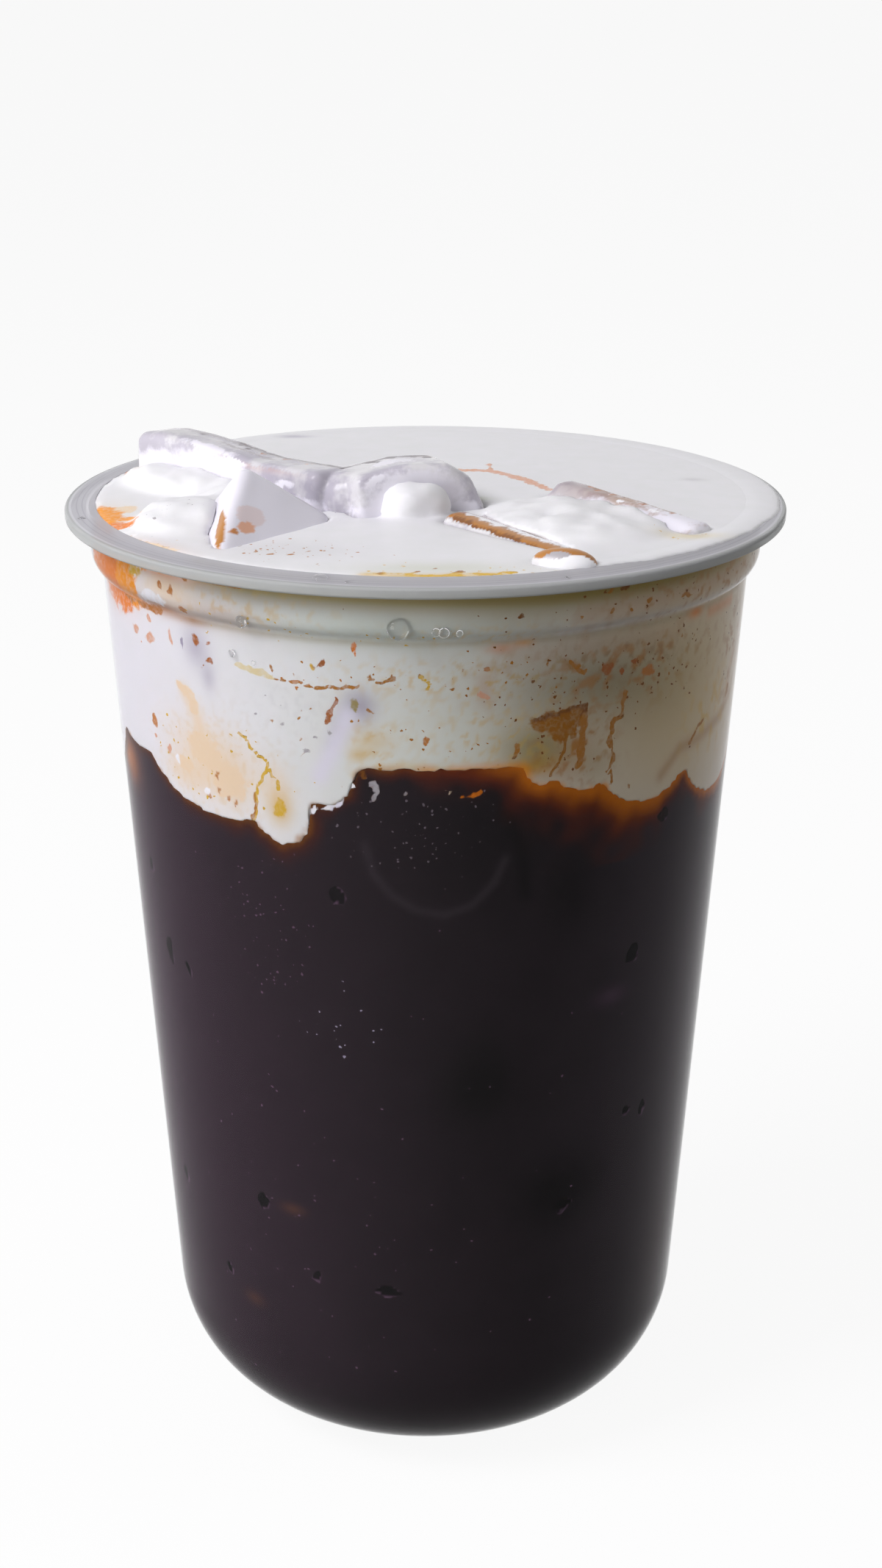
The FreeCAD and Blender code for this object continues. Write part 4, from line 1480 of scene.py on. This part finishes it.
def strew(name: str, items: list[tuple[Vector, Vector, tuple[float, float]]]) -> bpy.types.Object:
    """Makes one piece of small rounded drops.

    Args:
        name: the piece's name.
        items: for each drop its middle, the way it faces, and its radius and height.

    Returns:
        The new piece.
    """
    ball = make_ball(16, 9)
    points = read_points(ball)
    faces = [tuple(polygon.vertices) for polygon in ball.data.polygons]
    bpy.data.objects.remove(ball)
    every, joined = [], []
    for middle, facing, (radius, height) in items:
        turn = np.array(facing.to_track_quat("Z", "Y").to_matrix())
        start = len(every) * len(points)
        every.append((points * (radius, radius, height)) @ turn.T + np.array(middle))
        joined += [tuple(start + corner for corner in face) for face in faces]
    piece = make_mesh(name, np.concatenate(every).tolist(), [], joined)
    bpy.ops.object.shade_smooth()
    return piece


def make_bubbles(cup: Cup) -> bpy.types.Object:
    """Returns the bright bubbles that cling to the wall in the coffee."""
    items = []
    for bearing, height, radius in BUBBLES:
        place = polar(float(cup.inner(height * MM)) + 0.1 * MM, bearing, height * MM)
        items.append((place, polar(1, bearing, 0), (radius * 0.6 * MM, radius * 0.4 * MM)))
    piece = strew("coffee_bubbles", items)
    points = read_points(piece)
    Painter(points, np.full(len(points), True)).store(piece)
    return piece


DROPS_ON_WALL = (
    (-4.2, 118.0, 1.28), (1.6, 117.7, 0.5), (2.8, 117.6, 0.62), (5.2, 117.5, 0.4),
    (-30.0, 117.3, 0.75), (-33.3, 112.9, 0.45), (-29.1, 112.2, 0.3),
)

DROPS_ON_LIP = (
    (-11.6, -41.2, 0.95), (-8.6, -42.6, 0.35), (-41.6, -12.4, 0.5), (15.6, -40.6, 0.35),
)


def make_drops(cup: Cup) -> bpy.types.Object:
    """Returns the drops of water on the collar and the lip."""
    items = []
    for bearing, height, radius in DROPS_ON_WALL:
        place = polar(float(cup.outer(height * MM)), bearing, height * MM)
        items.append((place, polar(1, bearing, 0), (radius * MM, radius * 0.55 * MM)))
    for x, y, radius in DROPS_ON_LIP:
        place = Vector((x * MM, y * MM, float(cup.lip(math.hypot(x, y) * MM))))
        items.append((place, Vector((0, 0, 1)), (radius * MM, radius * 0.5 * MM)))
    return strew("water_drops", items)


@dataclass(frozen=True)
class Lie:
    """How a cube lies on the foam: a lower corner in x and y, and its heading from +X."""

    corner: tuple[float, float]
    heading: float


@dataclass(frozen=True)
class Coat:
    """What lies on a cube, with places along, across and above it from its lower corner."""

    lie: Lie
    washes: tuple[Mark, ...] = ()
    marks: tuple[Mark, ...] = ()


@dataclass
class Ice:
    """Cubes melted to one piece: the CAD solids with their edges rounded and grown together."""

    name: str
    nodes: tuple[str, ...]
    coats: tuple[Coat, ...]
    bridges: tuple[tuple[Vector, Vector], ...] = ()
    voxel: float = 0.4 * MM
    passes: int = 5
    ripple: float = 0.07 * MM
    ripple_size: float = 3.5 * MM
    swell: float = 0.2 * MM
    upright: float = 0.7

    def build(self, brim: float) -> bpy.types.Object:
        """Melts the piece and lays milk and coffee on it.

        Args:
            brim: the height of the cup's mouth.

        Returns:
            The new piece, which stands for the CAD ice.
        """
        parts = [merged_copy(node, self.name) for node in self.nodes]
        for middle, size in self.bridges:
            ball = make_ball(24, 12)
            write_points(ball, read_points(ball) * np.array(size) * MM + np.array(middle) * MM)
            parts.append(ball)
        activate(parts[0])
        for part in parts:
            part.select_set(True)
        if len(parts) > 1:
            bpy.ops.object.join()
        piece = parts[0]
        piece.name = self.name
        soften(piece, self.voxel, self.passes)
        points = read_points(piece)
        normals = read_points(piece, "normal")
        lumps = rough_noise(points, self.ripple_size, 4.2)
        points += normals * (lumps * self.ripple + self.swell)[:, None]
        write_points(piece, points)
        painter = Painter(points, normals[:, 2] < self.upright)
        for coat in self.coats:
            self.align(painter, coat.lie, brim)
            painter.lay_washes(list(coat.washes))
            painter.lay_marks(list(coat.marks))
        painter.store(piece)
        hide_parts(*self.nodes)
        return piece

    def align(self, painter: Painter, lie: Lie, brim: float) -> None:
        """Turns a painter's places to the cube's own directions.

        Args:
            painter: the painter to turn.
            lie: how the cube lies.
            brim: the height that places are measured from.
        """
        turn = math.radians(lie.heading)
        x = painter.points[:, 0] / MM - lie.corner[0]
        y = painter.points[:, 1] / MM - lie.corner[1]
        painter.x = x * math.cos(turn) + y * math.sin(turn)
        painter.y = y * math.cos(turn) - x * math.sin(turn)
        painter.z = (painter.points[:, 2] - brim) / MM
        painter.bearing = painter.x
        painter.scale = 1.0


BACK_ICE = Ice(
    "ice_back", ("ice_back_left", "ice_back_middle"),
    (
        Coat(Lie((-37.5, 10.9), -42.5), (
            Patch(TOP, (4, 3), (7, 2.4), Tone.GREY, 0.35),
            Patch(TOP, (24, 4), (10, 4), Tone.PLUM, 0.35),
            Patch(SIDE, (26, 3.6), (7, 1.4), Tone.PLUM, 0.4),
            Patch(SIDE, (22, 4.6), (6, 0.6), Tone.BLUSH, 0.5),
        ), (
            *patches(SIDE, Tone.FILM, (
                (5.4, 1.4, 5.6, 2.6), (12.0, 1.8, 6.6, 3.0), (18.0, 1.6, 4.6, 2.4),
                (17.6, 4.4, 3.0, 0.8, 0.9), (24.0, 0.4, 4.4, 1.3), (30.0, 0.8, 4.4, 1.0, 0.9),
                (27.6, 3.0, 2.2, 0.5, 0.8, 10),
            )),
            *patches(TOP, Tone.FILM, ((13.0, 0.8, 5.0, 0.8, 0.9), (3.4, 3.8, 1.6, 0.6, 0.8))),
            Stroke(TOP, ((0.4, 5.0), (9.0, 5.2), (18.0, 5.1), (27, 5.2), (32, 5.0)), 0.4, Tone.GREY),
            Stroke(TOP, ((14.0, 5.4), (20.0, 5.3), (26, 5.4), (32, 5.2)), 0.3, Tone.ASH, 1.1),
            Stroke(TOP, ((12.0, 3.4), (17.0, 3.1), (23.0, 3.3)), 0.25, Tone.GREY),
            Spots(TOP, ((19.4, 4.6), (21.2, 5.2), (23.0, 4.4), (25.4, 5.2), (27.2, 4.2)), 0.4,
                  Tone.RUST, 0.9),
            Spots(TOP, ((8.0, 4.6), (14.8, 4.8), (16.4, 4.2), (28.8, 5.0), (26.2, 3.2)), 0.35,
                  Tone.ASH),
        )),
        Coat(Lie((-8.2, -14.4), 18.0), (
            *patches(SIDE, Tone.PLUM, ((3, 4, 4, 2.4, 0.4), (12, 3.4, 4, 2.6, 0.3))),
            Patch(TOP, (12.4, 7.6), (2.2, 1.2), Tone.BLUSH, 0.7),
        ), (
            Spots(TOP, ((4.0, 7.6), (4.6, 6.8), (8.8, 7.8), (9.6, 7.2), (10.4, 7.9), (11.2, 7.0),
                        (12.4, 7.8), (13.4, 7.0), (14.0, 6.2), (10.8, 6.2), (6.4, 7.6)), 0.45,
                  Tone.ASH, 1.2),
            Stroke(TOP, ((0.5, 7.6), (3, 8.0), (7, 8.2), (11, 8.1), (14, 7.6)), 0.3, Tone.ASH),
            *patches(SIDE, Tone.FILM, (
                (3.0, 0.8, 3.4, 1.2), (13.0, 0.6, 3.0, 0.9, 0.9), (2.4, 4.6, 1.6, 0.7, 0.9, 20),
            )),
            Patch(TOP, (6.0, 5.0), (3.0, 1.6), Tone.FILM, 0.9),
            Blot((-1.0, -12.6, 126.2), (6.0, 4.6, 3.0), Tone.FILM, 1.1),
        )),
    ),
    bridges=((Vector((-9.4, -9.2, 125.4)), Vector((3.2, 3.2, 3.3))),))

FRONT_ICE = Ice(
    "ice_front", ("ice_front_left",),
    (Coat(Lie((0, 0), 0), (), (
        Blot((-18, -18, 126), (26, 26, 26), Tone.FILM),
        Blot((-19.4, -22.4, 126.6), (4.2, 3.6, 2.4), Tone.PETAL, 1.3),
        Blot((-23.8, -24.6, 125.2), (0.5, 4.6, 2.4), Tone.TOFFEE, 1.7),
        Blot((-22.4, -25.4, 124.9), (0.9, 0.8, 0.7), Tone.BRICK, 1.5),
        Blot((-20.8, -24.0, 125.3), (1.7, 1.4, 0.8), Tone.BLUSH, 1.5),
    )),))

RIGHT_ICE = Ice(
    "ice_block", ("ice_right",),
    (Coat(Lie((34.2, -19.1), 132.0), (
        *patches(TOP, Tone.TOFFEE, ((12, 21, 16, 3, 0.9), (10, 1.5, 16, 3, 0.75))),
        Patch(TOP, (22, 1.5), (5, 3), Tone.PLUM, 0.5),
        Patch(TOP, (22, 20), (4, 3), Tone.BLUSH, 0.6),
    ), (
        Stroke(TOP, ((6, 20.9), (14, 21.0), (23, 20.9)), 0.9, Tone.TOFFEE),
        Stroke(TOP, ((8, 21.6), (15, 21.7), (22, 21.6)), 0.3, Tone.BROWN, 1.1),
        *patches(TOP, Tone.WHITE, (
            (8.4, 19.2, 2.6, 0.7, 1.2, 4), (13.6, 19.3, 1.8, 0.6, 1.2, -6),
            (18.8, 19.2, 2.2, 0.7, 1.2, 5),
        )),
        Spots(TOP, ((11.2, 19.8), (16.2, 19.9), (21.4, 19.6), (5.2, 20.4)), 0.6, Tone.WHITE, 1.1),
        Blot((30.6, -16.9, 124.3), (3.6, 3.6, 1.0), Tone.FILM, 1.2),
        Blot((26.6, -12.5, 124.3), (3.6, 3.6, 1.0), Tone.FILM, 1.2),
        Blot((22.6, -8.0, 124.4), (3.6, 3.6, 1.0), Tone.FILM, 1.2),
        Blot((18.6, -3.6, 124.4), (3.0, 3.0, 0.9), Tone.FILM, 1.1),
        *patches(TOP, Tone.WHITE, ((7.6, 2.5, 0.7, 0.3, 1.1, 8), (12.8, 2.4, 0.6, 0.3, 1.1))),
        Stroke(TOP, ((3, 0.8), (9, 0.7), (15, 0.6), (20, 0.7)), 0.5, Tone.BROWN),
        Spots(TOP, ((17.6, 1.6), (19.4, 1.0), (15.4, 1.7), (10.2, 1.6), (5.4, 1.5)), 0.45,
              Tone.RUST),
    )),))

CHIP = Ice(
    "ice_chip_coated", ("ice_chip",),
    (Coat(Lie((0, 0), 0), (), (
        Blot((16.5, -37.8, 124.0), (9, 1.7, 1.5), Tone.WHITE, 1.1),
        Blot((16.0, -35.4, 125.5), (5.4, 1.2, 0.9), Tone.TOFFEE, 1.3),
        Blot((19.6, -35.9, 124.7), (2.4, 1.0, 0.8), Tone.COPPER, 1.3),
        Blot((14.4, -36.4, 125.3), (1.8, 0.8, 0.7), Tone.GREY, 1.3),
    )),),
    voxel=0.25 * MM)


# ---------------------------------------------------------------- the studio
@dataclass
class Studio:
    """White table, soft lights and the camera."""

    table_radius: float = 12.0
    table_grey: float = 0.12
    table_glow: float = 0.92
    ambient: float = 0.235
    aim_height: float = 0.07
    camera_height: float = 192.9 * MM
    camera_distance: float = 305 * MM
    camera_pitch: float = 19.46
    lens: float = 56.72
    shift: float = 0.0099

    def build(self) -> None:
        """Sets up the table, the world, the lamps and the camera."""
        self.build_table()
        self.build_world()
        self.build_lamps()
        self.build_camera()
        bpy.context.scene.view_settings.view_transform = "Standard"

    def seen(self, tree: bpy.types.NodeTree) -> bpy.types.NodeSocket:
        """Returns 1 for rays from the camera, off gloss or through glass, before they scatter."""
        path = add_node(tree, "ShaderNodeLightPath")
        first = add_node(tree, "ShaderNodeMath", {
            0: path.outputs["Is Camera Ray"], 1: path.outputs["Is Glossy Ray"],
        }, operation="MAXIMUM")
        both = add_node(tree, "ShaderNodeMath", {
            0: first, 1: path.outputs["Is Transmission Ray"]}, operation="MAXIMUM")
        unscattered = add_node(tree, "ShaderNodeMath", {
            0: path.outputs["Diffuse Depth"], 1: 0.5}, operation="LESS_THAN")
        shown = add_node(tree, "ShaderNodeMath", {
            0: both, 1: unscattered}, operation="MULTIPLY")
        return shown.outputs[0]

    def build_table(self) -> None:
        """Lays a wide white table under the cup."""
        bpy.ops.object.select_all(action="DESELECT")
        bpy.ops.mesh.primitive_circle_add(
            vertices=96, radius=self.table_radius, fill_type="NGON", location=(0, 0, 0))
        table = bpy.context.object
        table.name = "table"
        material, tree = new_material("white_card")
        seen = self.seen(tree)
        shade = add_node(tree, "ShaderNodeMapRange", {
            "Value": seen, "To Min": self.table_grey, "To Max": 1.0})
        card = add_node(tree, "ShaderNodeBsdfDiffuse", {"Color": shade})
        glow = add_node(tree, "ShaderNodeEmission", {"Color": (1, 1, 1, 1), "Strength": 1.0})
        share = add_node(tree, "ShaderNodeMath", {0: seen, 1: self.table_glow}, operation="MULTIPLY")
        both = add_node(tree, "ShaderNodeMixShader", {
            0: share, 1: card, 2: glow})
        show_surface(tree, both)
        table.data.materials.append(material)

    def build_world(self) -> None:
        """Makes the world a plain soft light that looks white."""
        world = bpy.data.worlds.new("studio")
        bpy.context.scene.world = world
        world.use_nodes = True
        tree = world.node_tree
        tree.nodes.clear()
        light, white = (
            add_node(tree, "ShaderNodeBackground", {"Color": (1, 1, 1, 1), "Strength": strength})
            for strength in (self.ambient, 1.0))
        both = add_node(tree, "ShaderNodeMixShader", {0: self.seen(tree), 1: light, 2: white})
        add_node(tree, "ShaderNodeOutputWorld", {"Surface": both})

    def build_lamps(self) -> None:
        """Hangs the main lamp above at the left, and weak ones low in front and at the right."""
        self.lamp("left_softbox", (-0.62, -0.33, 0.78), 0.45, 7.6, (0.97, 0.955, 1.0))
        self.lamp("low_fill", (-0.72, -0.66, 0.1), 0.6, 6.1, (1.0, 1.0, 0.97))
        self.lamp("back_fill", (0.9, 0.12, 0.2), 0.6, 2.0, (1.0, 0.99, 1.0))

    def lamp(
        self, name: str, place: tuple[float, float, float], size: float, power: float,
        colour: tuple[float, float, float],
    ) -> None:
        """Hangs one square lamp that faces the drink.

        Args:
            name: the lamp's name.
            place: where it hangs.
            size: its side.
            power: its power in watts.
            colour: its tint, in linear light.
        """
        data = bpy.data.lights.new(name, "AREA")
        data.shape = "SQUARE"
        data.size = size
        data.energy = power
        data.color = colour
        item = place_object(name, data)
        item.location = place
        aim = Vector((0, 0, self.aim_height)) - Vector(place)
        item.rotation_euler = aim.to_track_quat("-Z", "Y").to_euler()

    def build_camera(self) -> None:
        """Sets the camera in front, looking down on the drink."""
        data = bpy.data.cameras.new("camera")
        data.lens = self.lens
        data.sensor_width = 36.0
        data.shift_x = self.shift
        data.clip_end = 50.0
        camera = place_object("camera", data)
        camera.location = (0, -self.camera_distance, self.camera_height)
        camera.rotation_euler = (math.radians(90 - self.camera_pitch), 0, 0)
        bpy.context.scene.camera = camera


def main() -> None:
    """Builds the drink piece by piece, then the studio round it."""
    logging.basicConfig(level=logging.INFO, format="%(message)s")
    cup = Cup()
    dress(cup.build(), Polypropylene().make())
    milk = MilkFoam().make()
    foam = Foam(cup)
    brew = Brew(cup)
    dress(foam.shape(), milk)
    dress(brew.shape(), BlackCoffee().make())
    points, on_side = foam.side()
    foam.paint(brew.edge)
    brew.paint(points[on_side & (points[:, 2] < FOAM_EDGE_BELOW)])
    log.info("foam: %d faces", len(foam.piece.data.polygons))
    log.info("brew: %d faces", len(brew.piece.data.polygons))
    melting = MeltingIce().make()
    for ice in (BACK_ICE, FRONT_ICE, RIGHT_ICE, CHIP):
        piece = ice.build(cup.brim)
        dress(piece, melting)
        log.info("%s: %d faces", piece.name, len(piece.data.polygons))
    dress(Spill(cup).build(), milk)
    dress(make_bubbles(cup), milk)
    dress(make_drops(cup), Water().make())
    Studio().build()


if __name__ == "__main__":
    main()
